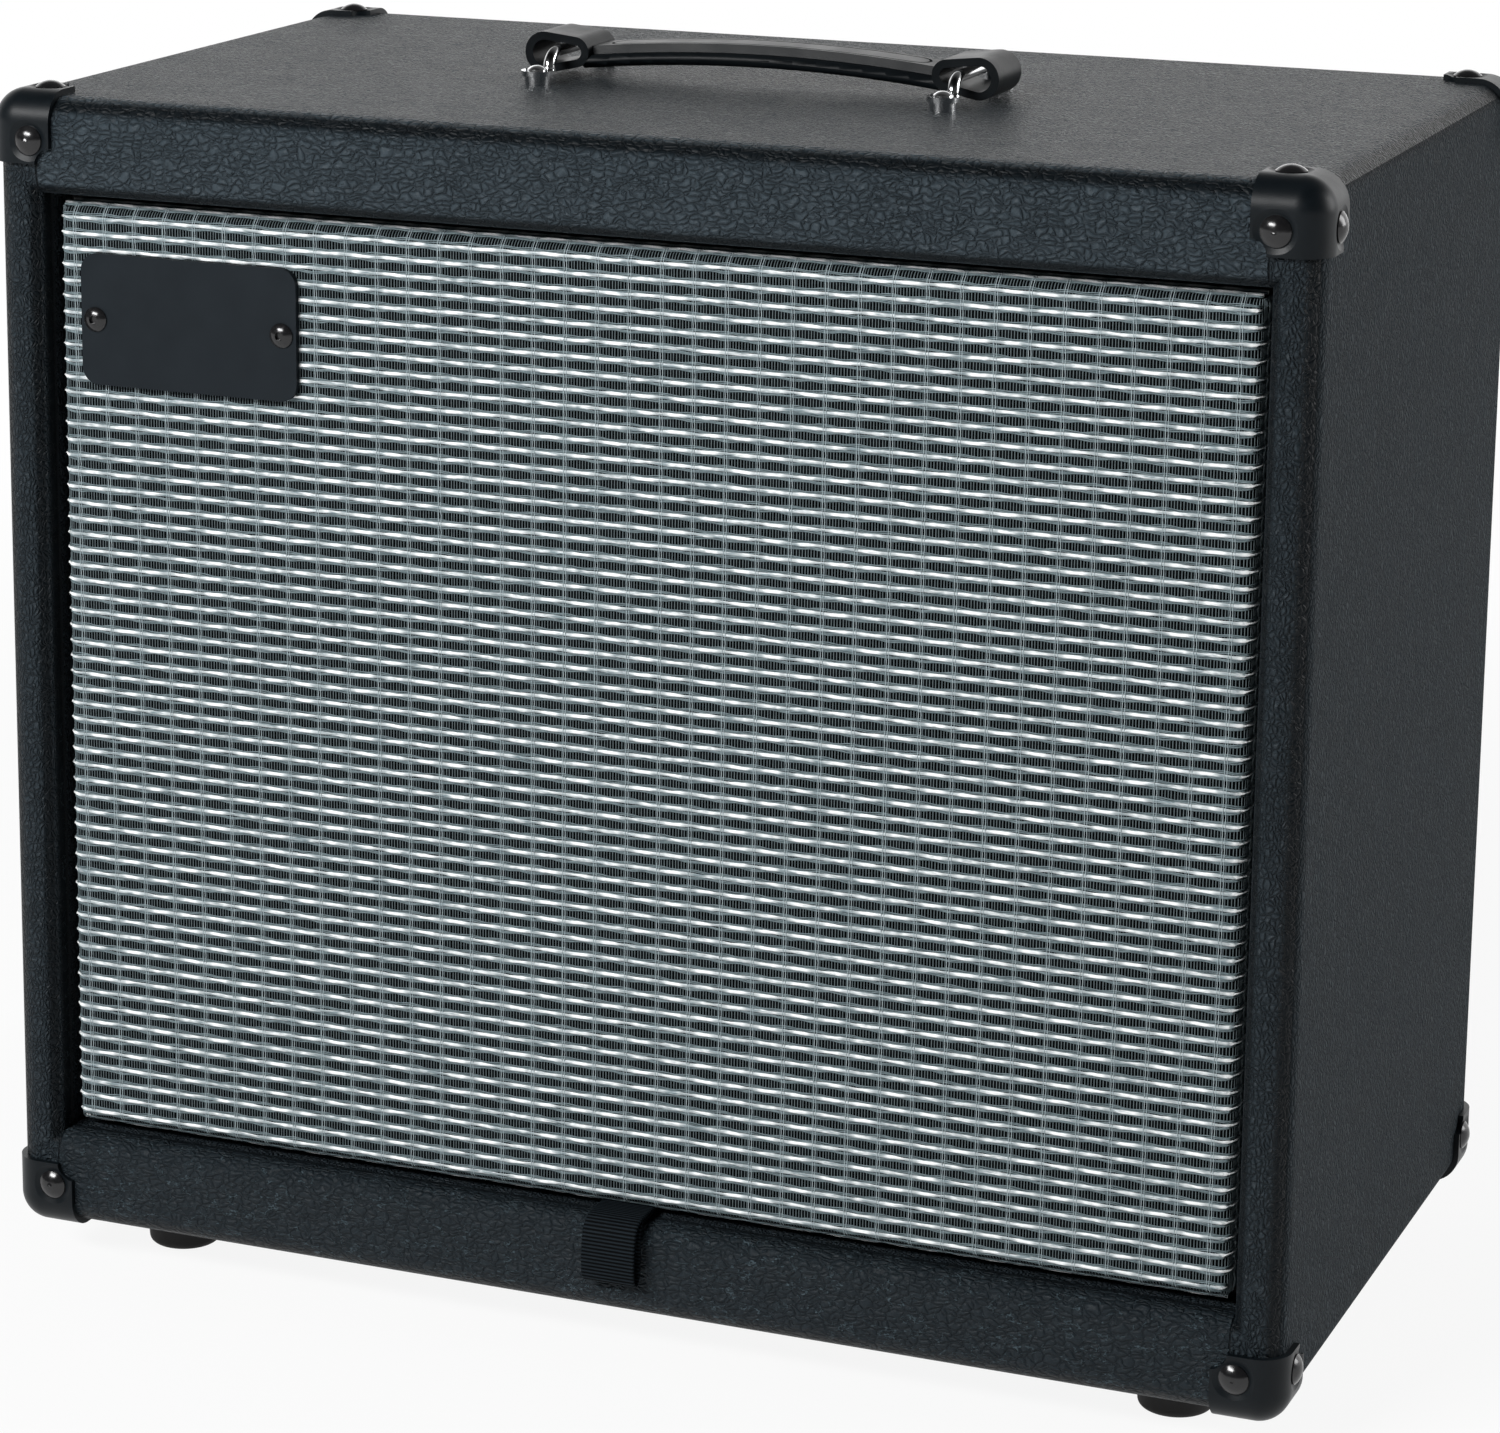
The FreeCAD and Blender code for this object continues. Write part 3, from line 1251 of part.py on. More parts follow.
def on_leg(name, across, along, out, width, length, thickness):
    """Flat piece on the leg's slope: its middle across and along, and its near face's rise."""
    obj = doc.addObject("Part::Box", name)
    bind(obj, "Length", width)
    bind(obj, "Width", thickness)
    bind(obj, "Height", length)
    tilt = FreeCAD.Rotation(AXES["X"], -slope_angle)
    corner = leg_middle + V(number(across) - number(width) / 2, 0, 0)
    corner += slope * (number(along) - number(length) / 2) + leg_normal * number(out)
    obj.Placement = FreeCAD.Placement(corner, tilt)
    return obj


strip = [on_leg("terminal_board", "0", "0", "0", "terminal_width", "terminal_height", "terminal_thickness")]
for side, sign in (("left", "-"), ("right", "")):
    strip.append(on_leg(
        f"terminal_lug_{side}", f"{sign}terminal_lug_spread", "0", "terminal_thickness",
        "terminal_lug_width", "terminal_lug_length", "terminal_lug_thickness"))
node(group("speaker_terminals", *strip), "speaker_terminals")

cone_back = (
    "cone_depth * (cone_rim_radius - tinsel_cone_radius) / (cone_rim_radius - cone_neck_radius) + cone_thickness")
tinsel = []
for side, sign in (("left", "-"), ("right", "")):
    x_place = f"{sign}terminal_lug_spread"
    begin = point(x_place, f"flange_front + {cone_back} + tinsel_radius", "middle - tinsel_cone_radius")
    end = leg_middle + V(number(x_place), 0, 0) + slope * number("terminal_height / 2 + tinsel_radius")
    halfway = (begin + end) / 2 + V(0, number("tinsel_slack"), 0)
    tinsel.append(feature(
        f"tinsel_{side}", bent([begin, halfway, end], number("tinsel_radius"), number("tinsel_bend_radius"))))
node(group("tinsel_leads", *tinsel), "tinsel_leads")

# Jack dish: a lipped tub in the back panel with two jacks through its floor

dish_lip = block(
    "dish_lip", ("-dish_width / 2", "back_panel_back", "dish_middle - dish_height / 2"),
    ("dish_width / 2", "back_panel_back + dish_lip_thickness", "dish_middle + dish_height / 2"))
dish_lip = rounded("dish_lip_corners", dish_lip, "dish_corner_radius", runs_along("Y"))
dish_tub = block(
    "dish_tub", ("-tub_right - dish_wall", "dish_floor_front", "dish_middle - tub_half_height - dish_wall"),
    ("tub_right + dish_wall", "back_panel_back", "dish_middle + tub_half_height + dish_wall"))
dish_tub = rounded("dish_tub_corners", dish_tub, "dish_corner_radius - dish_fit", runs_along("Y"))
dish_hollow = block(
    "dish_hollow", ("-tub_right", "dish_floor_back", "dish_middle - tub_half_height"),
    ("tub_right", "back + overrun", "dish_middle + tub_half_height"))
dish_hollow = rounded(
    "dish_hollow_corners", dish_hollow, "dish_corner_radius - dish_fit - dish_wall", runs_along("Y"))
jack_nut_list = []
jacks = []
for label, sign in (("input_jack", "-"), ("link_jack", "")):
    x_place = f"{sign}jack_spacing / 2"
    bushing = rod(f"{label}_bushing", "jack_bushing_radius", "jack_bushing_length + dish_wall",
                  (x_place, "dish_floor_front", "dish_middle"), "+Y")
    housing = block(
        f"{label}_housing",
        (f"{x_place} - jack_body_width / 2", "jack_front", "dish_middle - jack_body_width / 2"),
        (f"{x_place} + jack_body_width / 2", "dish_floor_front", "dish_middle + jack_body_width / 2"))
    lugs = [block(
        f"{label}_lug_{i}",
        (f"{x_place} + {i} * jack_lug_spread - jack_lug_width / 2", "jack_front - jack_lug_length",
         "dish_middle - jack_lug_thickness / 2"),
        (f"{x_place} + {i} * jack_lug_spread + jack_lug_width / 2", "jack_front",
         "dish_middle + jack_lug_thickness / 2")) for i in (-1, 1)]
    bore = rod(f"{label}_bore", "jack_bore_radius", "jack_bore_depth + overrun",
               (x_place, "dish_floor_back + jack_bushing_length - jack_bore_depth", "dish_middle"), "+Y")
    jacks.append(bushing)
    node(cut(label, fuse(f"{label}_form", bushing, housing, *lugs), bore), label)
    nut = doc.addObject("Part::Prism", f"{label}_nut")
    nut.Polygon = NUT_SIDES
    bind(nut, "Circumradius", "jack_nut_radius")
    bind(nut, "Height", "jack_nut_thickness")
    jack_nut_list.append(stand(nut, (x_place, "dish_floor_back", "dish_middle"), "+Y"))
bushings = group("jack_bushings", *jacks)
node(cut("jack_dish", fuse("dish_form", dish_lip, dish_tub), dish_hollow, bushings, dish_screws), "jack_dish")
node(cut("jack_nuts", group("jack_nut_blanks", *jack_nut_list), bushings), "jack_nuts")

# Twin lead: down from the input jack, along the bottom board and up to the terminal strip

lead_floor = number("cavity_bottom + lead_radius + lead_floor_clearance")
# Share of the way across from the jack to the terminals, then the place in depth and height
LEAD_ROUTE = [
    (0.10, 48, 104),
    (0.28, 34, 68),
    (0.48, 14, lead_floor),
    (0.66, -16, lead_floor),
    (0.84, -34, 58),
    (0.96, -42.5, 85.5),
]
lead = []
for side, sign in (("left", "-"), ("right", "")):
    begin = point(
        f"{sign}jack_lug_spread - jack_spacing / 2", "jack_front - jack_lug_length - lead_end_gap", "dish_middle")
    end = leg_middle + V(number(f"{sign}terminal_lug_spread"), 0, 0)
    end += leg_normal * number("terminal_thickness + terminal_lug_thickness + lead_radius + lead_end_gap")
    route = [V(begin.x + share * (end.x - begin.x), y, z) for share, y, z in LEAD_ROUTE]
    lead.append(feature(f"lead_{side}", bent([begin, *route, end], number("lead_radius"))))
node(group("speaker_lead", *lead), "speaker_lead")

# Check every object, then write one file for each piece

doc.recompute()
for obj in doc.Objects:
    assert not {"Invalid", "Error"} & set(obj.State), f"{obj.Name} failed: {obj.State}"
for piece in nodes:
    shape = piece.Shape
    assert not shape.isNull() and shape.isValid() and shape.Solids, f"{piece.Label} has no valid solid"
for piece in nodes:
    piece.Shape.exportStep(f"parts/{piece.Label}.step")
print(f"{len(nodes)} pieces, {sum(len(piece.Shape.Solids) for piece in nodes)} solids")
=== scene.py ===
import math
import random

import bmesh
import bpy
from mathutils import Matrix, Vector


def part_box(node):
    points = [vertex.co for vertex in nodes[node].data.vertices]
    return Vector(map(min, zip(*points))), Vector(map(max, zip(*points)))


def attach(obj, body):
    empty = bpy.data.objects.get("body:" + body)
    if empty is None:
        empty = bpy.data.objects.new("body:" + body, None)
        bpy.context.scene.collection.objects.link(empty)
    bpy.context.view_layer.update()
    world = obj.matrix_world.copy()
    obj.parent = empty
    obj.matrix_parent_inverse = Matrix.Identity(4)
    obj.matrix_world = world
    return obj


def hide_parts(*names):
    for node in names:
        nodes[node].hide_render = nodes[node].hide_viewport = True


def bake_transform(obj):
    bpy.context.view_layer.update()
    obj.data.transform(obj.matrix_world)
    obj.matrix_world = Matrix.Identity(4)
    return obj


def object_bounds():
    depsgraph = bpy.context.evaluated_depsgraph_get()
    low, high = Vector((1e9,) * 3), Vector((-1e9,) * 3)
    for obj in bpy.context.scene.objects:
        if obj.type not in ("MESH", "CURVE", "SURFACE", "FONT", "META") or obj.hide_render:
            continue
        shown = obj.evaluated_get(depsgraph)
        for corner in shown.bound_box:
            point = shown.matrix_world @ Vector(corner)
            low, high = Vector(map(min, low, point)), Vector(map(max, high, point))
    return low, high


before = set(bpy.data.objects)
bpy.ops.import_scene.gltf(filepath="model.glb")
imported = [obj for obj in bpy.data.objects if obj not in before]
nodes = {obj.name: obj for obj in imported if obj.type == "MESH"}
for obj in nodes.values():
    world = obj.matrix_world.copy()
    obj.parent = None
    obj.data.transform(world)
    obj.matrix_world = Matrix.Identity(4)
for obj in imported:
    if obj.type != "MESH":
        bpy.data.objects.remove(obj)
cad_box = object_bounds()

# Boards and front rails: birch plywood, finger-jointed at the corners and glued.
# The covering hides their faces; the plies show on the sawn edges inside the mouths.


class Shade:
    """A socket of a finish's node tree: sums and products with it add Math nodes."""

    def __init__(self, tree, socket):
        self.tree = tree
        self.socket = socket

    def add(self, kind, settings, sockets, out=0):
        """A node of that type, with its settings first and then its sockets' values or links."""
        node = self.tree.nodes.new("ShaderNode" + kind)
        for name, value in settings.items():
            setattr(node, name, value)
        for name, value in sockets.items():
            if isinstance(value, Shade):
                self.tree.links.new(value.socket, node.inputs[name])
            else:
                node.inputs[name].default_value = value
        return Shade(self.tree, node.outputs[out])

    def maths(self, operation, *values):
        return self.add("Math", {"operation": operation}, dict(enumerate(values)))

    def __add__(self, other):
        return self.maths("ADD", self, other)

    def __sub__(self, other):
        return self.maths("SUBTRACT", self, other)

    def __rsub__(self, other):
        return self.maths("SUBTRACT", other, self)

    def __mul__(self, other):
        return self.maths("MULTIPLY", self, other)

    def __gt__(self, other):
        return self.maths("GREATER_THAN", self, other)

    def __abs__(self):
        return self.maths("ABSOLUTE", self)

    __radd__ = __add__
    __rmul__ = __mul__

    def between(self, low, high):
        """A colour that goes from low to high as this value goes from 0 to 1."""
        ends = [(*end, 1) if isinstance(end, tuple) else end for end in (low, high)]
        return self.add("Mix", {"data_type": "RGBA"}, {0: self, 6: ends[0], 7: ends[1]}, 2)

    def eased(self, low, high, start=0.0, end=1.0):
        """This value from low to high, moved smoothly to start to end."""
        return self.add("MapRange", {"interpolation_type": "SMOOTHSTEP"}, {
            "Value": self, "From Min": low, "From Max": high, "To Min": start, "To Max": end})

    def stretched(self, x, y, z):
        """Places on the surface, with patterns drawn out along an axis by a factor under 1."""
        return self.add("VectorMath", {"operation": "MULTIPLY"}, {0: self, 1: (x, y, z)})

    def noise(self, scale, detail=3.0, rough=0.5):
        return self.add("TexNoise", {}, {
            "Vector": self, "Scale": scale, "Detail": detail, "Roughness": rough})

    def cells(self, scale, feature="F1", randomness=1.0):
        return self.add("TexVoronoi", {"feature": feature}, {
            "Vector": self, "Scale": scale, "Randomness": randomness})

    def axis(self, name):
        return self.add("SeparateXYZ", {}, {0: self}, name)

    def feeds(self, name):
        self.tree.links.new(self.socket, self.tree.nodes["Principled BSDF"].inputs[name])

    def bumps(self, depth, strength=1.0):
        """This value as relief of that depth in metres on the finish's surface."""
        self.add("Bump", {}, {"Strength": strength, "Distance": depth, "Height": self}).feeds("Normal")

    def coats(self, low, high, rough, rougher, depth, strength):
        """A whole finish whose colour, roughness and relief follow this one pattern."""
        self.between(low, high).feeds("Base Color")
        (rough + rougher * self).feeds("Roughness")
        self.bumps(depth, strength)


def finish(name, **even):
    """A new material with these even values on its shader, and the places on its surface."""
    material = bpy.data.materials.new(name)
    material.use_nodes = True
    tree = material.node_tree
    for key, value in even.items():
        tree.nodes["Principled BSDF"].inputs[key.replace("_", " ")].default_value = value
    return material, Shade(tree, tree.nodes.new("ShaderNodeTexCoord").outputs["Object"])


def dress(material, *names):
    """Gives CAD nodes a finish."""
    for name in names:
        nodes[name].data.materials.clear()
        nodes[name].data.materials.append(material)


birch_ply, place = finish("birch_ply", Specular_IOR_Level=0.3)
figure = place.stretched(6, 40, 40).noise(9, 5, 0.6)
plies = place.stretched(90, 90, 90).noise(3, 2)
figure.between((0.50, 0.36, 0.22), (0.72, 0.56, 0.38)).feeds("Base Color")
(0.55 + 0.25 * plies).feeds("Roughness")
figure.bumps(0.0003, 0.4)
dress(birch_ply, "top_panel", "bottom_panel", "left_side_panel", "right_side_panel", "top_front_rail",
      "bottom_front_rail")

# Battens: sawn softwood strips, glued and stapled round the inside of the shell.
# They carry the baffle in front and take the back panel's screws behind.

sawn_pine, place = finish("sawn_pine", Specular_IOR_Level=0.25)
year_rings = place.stretched(8, 60, 60).noise(10, 4, 0.55)
fuzz = place.noise(1800, 2)
year_rings.between((0.58, 0.42, 0.24), (0.78, 0.63, 0.42)).feeds("Base Color")
(0.6 + 0.3 * fuzz).feeds("Roughness")
(year_rings + 0.3 * fuzz).bumps(0.0004, 0.5)
dress(sawn_pine, "baffle_battens", "back_battens")

# Baffle, back panel and grille frame: plywood rolled with flat black paint.
# The paint leaves a fine orange-peel texture and lets some grain through.
# The baffle sits on its battens, the back panel is screwed to its own, and the frame clings to the baffle's tapes.

black_board, place = finish("black_board", Specular_IOR_Level=0.35)
grain = place.stretched(10, 90, 90).noise(12, 4, 0.6)
peel = place.noise(900, 3)
patches = place.noise(22, 3)
tone = 0.3 * grain + 0.4 * patches + 0.3 * peel
tone.between((0.004, 0.004, 0.004), (0.032, 0.031, 0.030)).feeds("Base Color")
(0.42 + 0.18 * peel + 0.22 * patches).feeds("Roughness")
(0.25 * grain + 0.6 * peel).bumps(0.0004, 0.7)
dress(black_board, "baffle_board", "back_panel", "grille_frame")

# Covering: black vinyl with a pressed leather grain, glued round the shell and turned into its mouths.
# The grain runs across on the rails and upright on the sides, so it changes along the seams.
# Its colour is painted darker round the rounded edges and along the grain's crease lines, as shade, lighter on the
# top rail and darker on the lower rail as light falls from above, with painted highlights along each crease of the
# lower rail; the grain is flatter round the edges, where it is stretched tight.

mouth_side, side_start = 0.2134, 0.2285
rail_front, edge_blend = -0.120, 0.002
rail_split, low_rail_edge = 0.2, 0.04
seam_half = 0.0006
grain_scale, ripple_scale, ripple_reach = 500, 190, 0.0044
grain_depth = 0.0011
vinyl_dark = (0.0020, 0.0036, 0.0050)
vinyl_light = (0.0470, 0.0630, 0.0755)
# Colour of the painted highlights along each crease of the lower rail.
painted_crease_highlight = (0.070, 0.098, 0.115)

black_vinyl, place = finish("black_vinyl", Specular_IOR_Level=0.11)
across, height = abs(place.axis("X")), place.axis("Z")
front = place.axis("Y").eased(rail_front - edge_blend, rail_front, 1.0, 0.0)
rail = front * (1 - (across > mouth_side))
upper = height > rail_split
low_rail, top_rail = rail * (1 - upper), rail * upper
facing = place.add("TexCoord", {}, {}, "Normal")
flatness = abs(facing.axis("X"))
for axis in "YZ":
    flatness = flatness.maths("MAXIMUM", flatness, abs(facing.axis(axis)))
# Painted shade: the rounded edges are painted darker; the same mask flattens the grain there, where it is stretched
# tight.
pulled_edge_shade = flatness.eased(0.80, 0.97, 1.0, 0.0) * (1 - low_rail * (height > low_rail_edge))
ripple = place.add("TexNoise", {}, {"Vector": place, "Scale": ripple_scale, "Detail": 1}, "Color")
shift = ripple.add("VectorMath", {"operation": "SCALE"}, {0: ripple, "Scale": ripple_reach})
bent_place = place.add("VectorMath", {"operation": "ADD"}, {0: place, 1: shift})
lie = rail.add("Mix", {"data_type": "VECTOR"}, {
    0: rail, 4: bent_place.stretched(1.25, 1.25, 0.8), 5: bent_place.stretched(0.48, 1.0, 1.0)}, 1)
cells = lie.cells(grain_scale, "DISTANCE_TO_EDGE", 0.95)
# Painted shade: the grain's crease lines are painted darker, as shade between the pebble tops; the same mask makes
# the tops a little smoother.
pebbles_and_crease_shade = cells.eased(0.0, 0.11)
domes = 0.4 * cells.eased(0.0, 0.16) + 0.6 * cells.eased(0.0, 0.42)
fine = place.noise(2600, 2)
broad = place.noise(60, 3)
wrinkles = place.stretched(0.45, 1, 1).noise(230, 3, 0.55)
# Crease lines: relief everywhere, and painted highlights in the lower rail's colour.
creases_with_highlights = abs(wrinkles - 0.5).eased(0.0, 0.02, 1.0, 0.0) * place.noise(75, 2).eased(0.36, 0.58)
seam = 1 - front * abs(across - mouth_side).eased(0.0, seam_half, 1.0, 0.0)
# Painted light: the top rail is painted lighter and the lower rail darker, as light falls from above; the rest is
# random tone.
tone_and_painted_light = (0.10 + 0.17 * pebbles_and_crease_shade + 0.13 * fine + 0.15 * broad) * (1.08 + 0.75 * top_rail - 0.42 * low_rail)
skin = (tone_and_painted_light * seam * (1 - 0.94 * pulled_edge_shade)).between(vinyl_dark, vinyl_light)
(0.85 * creases_with_highlights * low_rail).between(skin, painted_crease_highlight).feeds("Base Color")
(0.44 - 0.06 * pebbles_and_crease_shade + 0.10 * broad + 0.30 * (across > side_start)).feeds("Roughness")
relief = domes * (1 - 0.45 * low_rail) + 0.15 * fine + 0.3 * broad
((1 - 0.7 * pulled_edge_shade) * seam * relief + 0.5 * creases_with_highlights).bumps(grain_depth)
dress(black_vinyl, "vinyl_covering")

# Corner protectors: satin black nylon mouldings over the eight corners.
# Three glossy black dome-headed screws hold each one, in dimples.

moulded_black, place = finish("moulded_black", Specular_IOR_Level=0.16)
spark = place.noise(2400, 2)
rub = place.noise(130, 4, 0.6)
rub.between((0.0022, 0.0038, 0.0052), (0.0064, 0.0092, 0.0116)).feeds("Base Color")
(0.30 + 0.16 * rub).feeds("Roughness")
spark.bumps(0.00006, 0.5)
dress(moulded_black, *[f"{end}_{level}_{side}_corner" for end in ("front", "back")
                       for level in ("top", "bottom") for side in ("left", "right")])

black_screw, place = finish("black_screw", Specular_IOR_Level=0.6, Metallic=0.25)
place.noise(700, 3).coats(low=(0.007, 0.007, 0.008), high=(0.016, 0.016, 0.017), rough=0.12, rougher=0.14,
                          depth=0.00002, strength=0.3)
dress(black_screw, "corner_screws", "back_panel_screws", "jack_dish_screws", "speaker_bolts", "badge_screws")

# Feet: moulded rubber cups, each with a washer and a zinc-plated screw up its middle.
# The rubber is matte and picks up floor dust at its rim.

rim_height = 0.004
foot_rubber, place = finish("foot_rubber", Specular_IOR_Level=0.3)
dust = place.noise(420, 4, 0.65)
rim = place.axis("Z").eased(0.0, rim_height, 1.0, 0.0)
(0.35 * dust + 0.3 * rim * dust).between((0.010, 0.010, 0.011), (0.055, 0.053, 0.050)).feeds("Base Color")
(0.62 + 0.25 * dust).feeds("Roughness")
dust.bumps(0.00015, 0.5)
dress(foot_rubber, *[f"{end}_{side}_foot" for end in ("front", "back") for side in ("left", "right")])

zinc_plate, place = finish("zinc_plate", Metallic=1.0)
place.noise(900, 4).coats(low=(0.50, 0.50, 0.47), high=(0.68, 0.68, 0.66), rough=0.25, rougher=0.2,
                          depth=0.00003, strength=0.4)
dress(zinc_plate, "foot_screws", "foot_washers", "speaker_nuts")

# Speaker frame: a pressed steel basket in grey hammer paint behind a foam gasket, bolted to the baffle.
# The magnet ring is bare ferrite between two plated iron plates.

basket_paint, place = finish("basket_paint", Specular_IOR_Level=0.5)
place.cells(520, "SMOOTH_F1").coats(low=(0.13, 0.13, 0.135), high=(0.075, 0.076, 0.08), rough=0.28, rougher=0.2,
                                    depth=0.0002, strength=0.4)
dress(basket_paint, "speaker_basket")

gasket_foam, place = finish("gasket_foam", Specular_IOR_Level=0.2)
place.cells(1500).coats(low=(0.10, 0.10, 0.095), high=(0.24, 0.24, 0.23), rough=0.75, rougher=0.2,
                        depth=0.0004, strength=0.7)
dress(gasket_foam, "speaker_gasket")

ferrite, place = finish("ferrite", Specular_IOR_Level=0.4)
place.noise(1400, 4, 0.65).coats(low=(0.030, 0.030, 0.033), high=(0.075, 0.074, 0.076), rough=0.5, rougher=0.3,
                                 depth=0.0002, strength=0.5)
dress(ferrite, "magnet")

plated_iron, place = finish("plated_iron", Metallic=1.0)
turned_marks = place.stretched(30, 900, 30).noise(4, 3)
turned_marks.coats(low=(0.36, 0.36, 0.34), high=(0.52, 0.52, 0.50), rough=0.28, rougher=0.22,
                   depth=0.00005, strength=0.4)
dress(plated_iron, "top_plate", "back_plate")

# Cone and dust cap: pressed paper pulp, dyed black, with ring ridges and the copper coil on its neck.
# Fibres show as a felt-like mottle; cap and coil are glued to the neck.

speaker_middle = 0.2165
cone_rim, cone_neck, cone_base, cone_depth, cone_thick = 0.126, 0.0264, -0.0384, 0.050, 0.0009
ridge_count, ridge_rise, wall_steps = 14, 0.00022, 120
cap_rim, cap_ball, cap_front, cap_thick, cap_steps = 0.031, 0.0492, -0.0526, 0.0008, 24
smallest_radius = 0.00005


def leaf(places, thick):
    """The closed outline of a thin skin about a line of (radius, y) places."""
    return [(r, y - thick / 2) for r, y in places] + [(r, y + thick / 2) for r, y in reversed(places)]


def bridged(mesh, rings):
    """Adds the faces between each ring of vertices and the next."""
    for ring, following in zip(rings, rings[1:]):
        for j in range(len(ring)):
            k = (j + 1) % len(ring)
            mesh.faces.new((ring[j], ring[k], following[k], following[j]))


def turned(outline, start, turn, steps):
    """A mesh that an outline sweeps about the speaker's axis, from a start through a turn in radians."""
    mesh = bmesh.new()
    whole = turn == math.tau
    rings = []
    for i in range(steps if whole else steps + 1):
        angle = start + turn * i / steps
        rings.append([mesh.verts.new((r * math.cos(angle), y, speaker_middle + r * math.sin(angle)))
                      for r, y in outline])
    bridged(mesh, rings + rings[:1] if whole else rings)
    if not whole:
        for end in (mesh.faces.new(rings[0]), mesh.faces.new(reversed(rings[-1]))):
            for edge in end.edges:
                edge.smooth = False
    return mesh


def piece(name, mesh, material, body, slot, *stood_for):
    """A finished mesh as a piece that rides on a body and stands for CAD nodes."""
    bmesh.ops.recalc_face_normals(mesh, faces=mesh.faces)
    for face in mesh.faces:
        face.smooth = True
    data = bpy.data.meshes.new(name)
    mesh.to_mesh(data)
    mesh.free()
    data.materials.append(material)
    obj = bpy.data.objects.new(name, data)
    bpy.context.scene.collection.objects.link(obj)
    if body:
        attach(obj, body)
    if stood_for:
        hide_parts(*stood_for)
    return obj


cone_paper, place = finish("cone_paper", Specular_IOR_Level=0.2)
place.noise(1100, 5, 0.7).coats(low=(0.018, 0.017, 0.016), high=(0.060, 0.057, 0.052), rough=0.7, rougher=0.25,
                                depth=0.0003, strength=0.6)
wall = []
for i in range(wall_steps + 1):
    share = i / wall_steps
    ridge = ridge_rise * math.sin(share * math.tau * ridge_count) * math.sin(math.pi * share) ** 0.5
    wall.append((cone_neck + (cone_rim - cone_neck) * share, cone_base - cone_depth * share + ridge))
piece("pressed_cone", turned(leaf(wall, cone_thick), start=0, turn=math.tau, steps=128), cone_paper, "cone",
      "cone_paper", "speaker_cone")
crown = []
for i in range(cap_steps + 1):
    radius = cap_rim * i / cap_steps
    crown.append((max(radius, smallest_radius), cap_front + cap_ball - math.sqrt(cap_ball ** 2 - radius ** 2)))
piece("domed_cap", turned(leaf(crown, cap_thick), start=0, turn=math.tau, steps=72), cone_paper, "cone",
      "cone_paper", "dust_cap")

coil_wire, place = finish("coil_wire", Metallic=1.0)
turns = place.add("TexWave", {"bands_direction": "Y"}, {"Vector": place, "Scale": 1100})
turns.coats(low=(0.45, 0.20, 0.09), high=(0.80, 0.43, 0.22), rough=0.25, rougher=0.2, depth=0.00012, strength=0.6)
dress(coil_wire, "voice_coil")

# Suspension: a doped cloth surround with two rolls, and a corrugated spider of stiffened cloth.
# Both are pressed from woven cloth and glued to the cone inside and to the basket outside.
# Each is made in sectors about the speaker's axis.

sectors = 16
half_sector = math.pi / sectors
roll_start, roll_span, roll_level, roll_rise, roll_count, roll_steps = 0.1261, 0.0052, -0.08925, 0.00024, 2, 24
surround_rim, surround_thick = (0.1335, 0.1372, 0.1410), 0.0005
fold_start, fold_span, fold_level, fold_rise, fold_count, fold_steps = 0.0264, 0.026, -0.0301, 0.0008, 5, 60
spider_rim, spider_thick = (0.056, 0.062, 0.070), 0.0007


def suspension(name, outline, material, slot, node, steps):
    """The sectors of a ring about the speaker's axis, each a piece of its own."""
    inner = min(r for r, y in outline) / math.cos(half_sector)
    outer = max(r for r, y in outline) * math.cos(half_sector)
    for i in range(sectors):
        middle = 2 * half_sector * i
        ring = piece(f"{name}_{i + 1:02d}", turned(outline, middle - half_sector, 2 * half_sector, steps), material,
                     None, slot, node)
        out = Vector((math.cos(middle), 0, math.sin(middle)))
        centre = Vector((0, outline[0][1], speaker_middle))
        tuple(centre + out * inner)
        tuple(centre + out * outer)
        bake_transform(ring)


def woven(place, pitch):
    """The over and under of a plain weave, from 0 to 1."""
    across, up = [place.maths("SINE", place.axis(axis) * (math.pi / pitch)) for axis in "XZ"]
    return 0.5 + 0.5 * across * up


doped_cloth, place = finish("doped_cloth", Specular_IOR_Level=0.3)
dope = place.noise(900, 4)
dope.between((0.020, 0.018, 0.016), (0.060, 0.054, 0.047)).feeds("Base Color")
(0.45 + 0.35 * dope).feeds("Roughness")
(dope + 0.6 * woven(place, 0.0009)).bumps(0.0002, 0.5)
rolls = [(roll_start + roll_span * i / roll_steps,
          roll_level - roll_rise * math.sin(math.tau * roll_count * i / roll_steps)) for i in range(roll_steps + 1)]
rolls += [(r, roll_level) for r in surround_rim]
suspension("surround", leaf(rolls, surround_thick), doped_cloth, "treated_cloth", "cone_surround", steps=10)

amber_cloth, place = finish("amber_cloth", Specular_IOR_Level=0.3)
resin = place.noise(700, 4)
weave = woven(place, 0.0011)
(0.6 * resin + 0.4 * weave).between((0.28, 0.14, 0.04), (0.55, 0.34, 0.14)).feeds("Base Color")
(0.45 + 0.3 * resin).feeds("Roughness")
(resin + weave).bumps(0.00025, 0.6)
folds = [(fold_start + fold_span * i / fold_steps,
          fold_level + fold_rise * math.cos(math.tau * fold_count * i / fold_steps)) for i in range(fold_steps + 1)]
folds += [(r, fold_level + fold_rise) for r in spider_rim]
suspension("spider", leaf(folds, spider_thick), amber_cloth, "amber_cloth", "spider", steps=8)

# Terminals and flexible leads: tinned tags on the basket and three-strand braid from them to the cone.
# The braid's ends are soldered.

lead_side, lead_step, strands, lay_length = 0.015, 0.0004, 3, 0.0045
strand_offset, strand_radius, strand_slant = 0.00036, 0.0004, 0.7
lead_line = [(-0.0498, 0.1644), (-0.0452, 0.1552), (-0.0403, 0.1455), (-0.0400, 0.1400), (-0.0420, 0.1300),
             (-0.0437, 0.1219)]


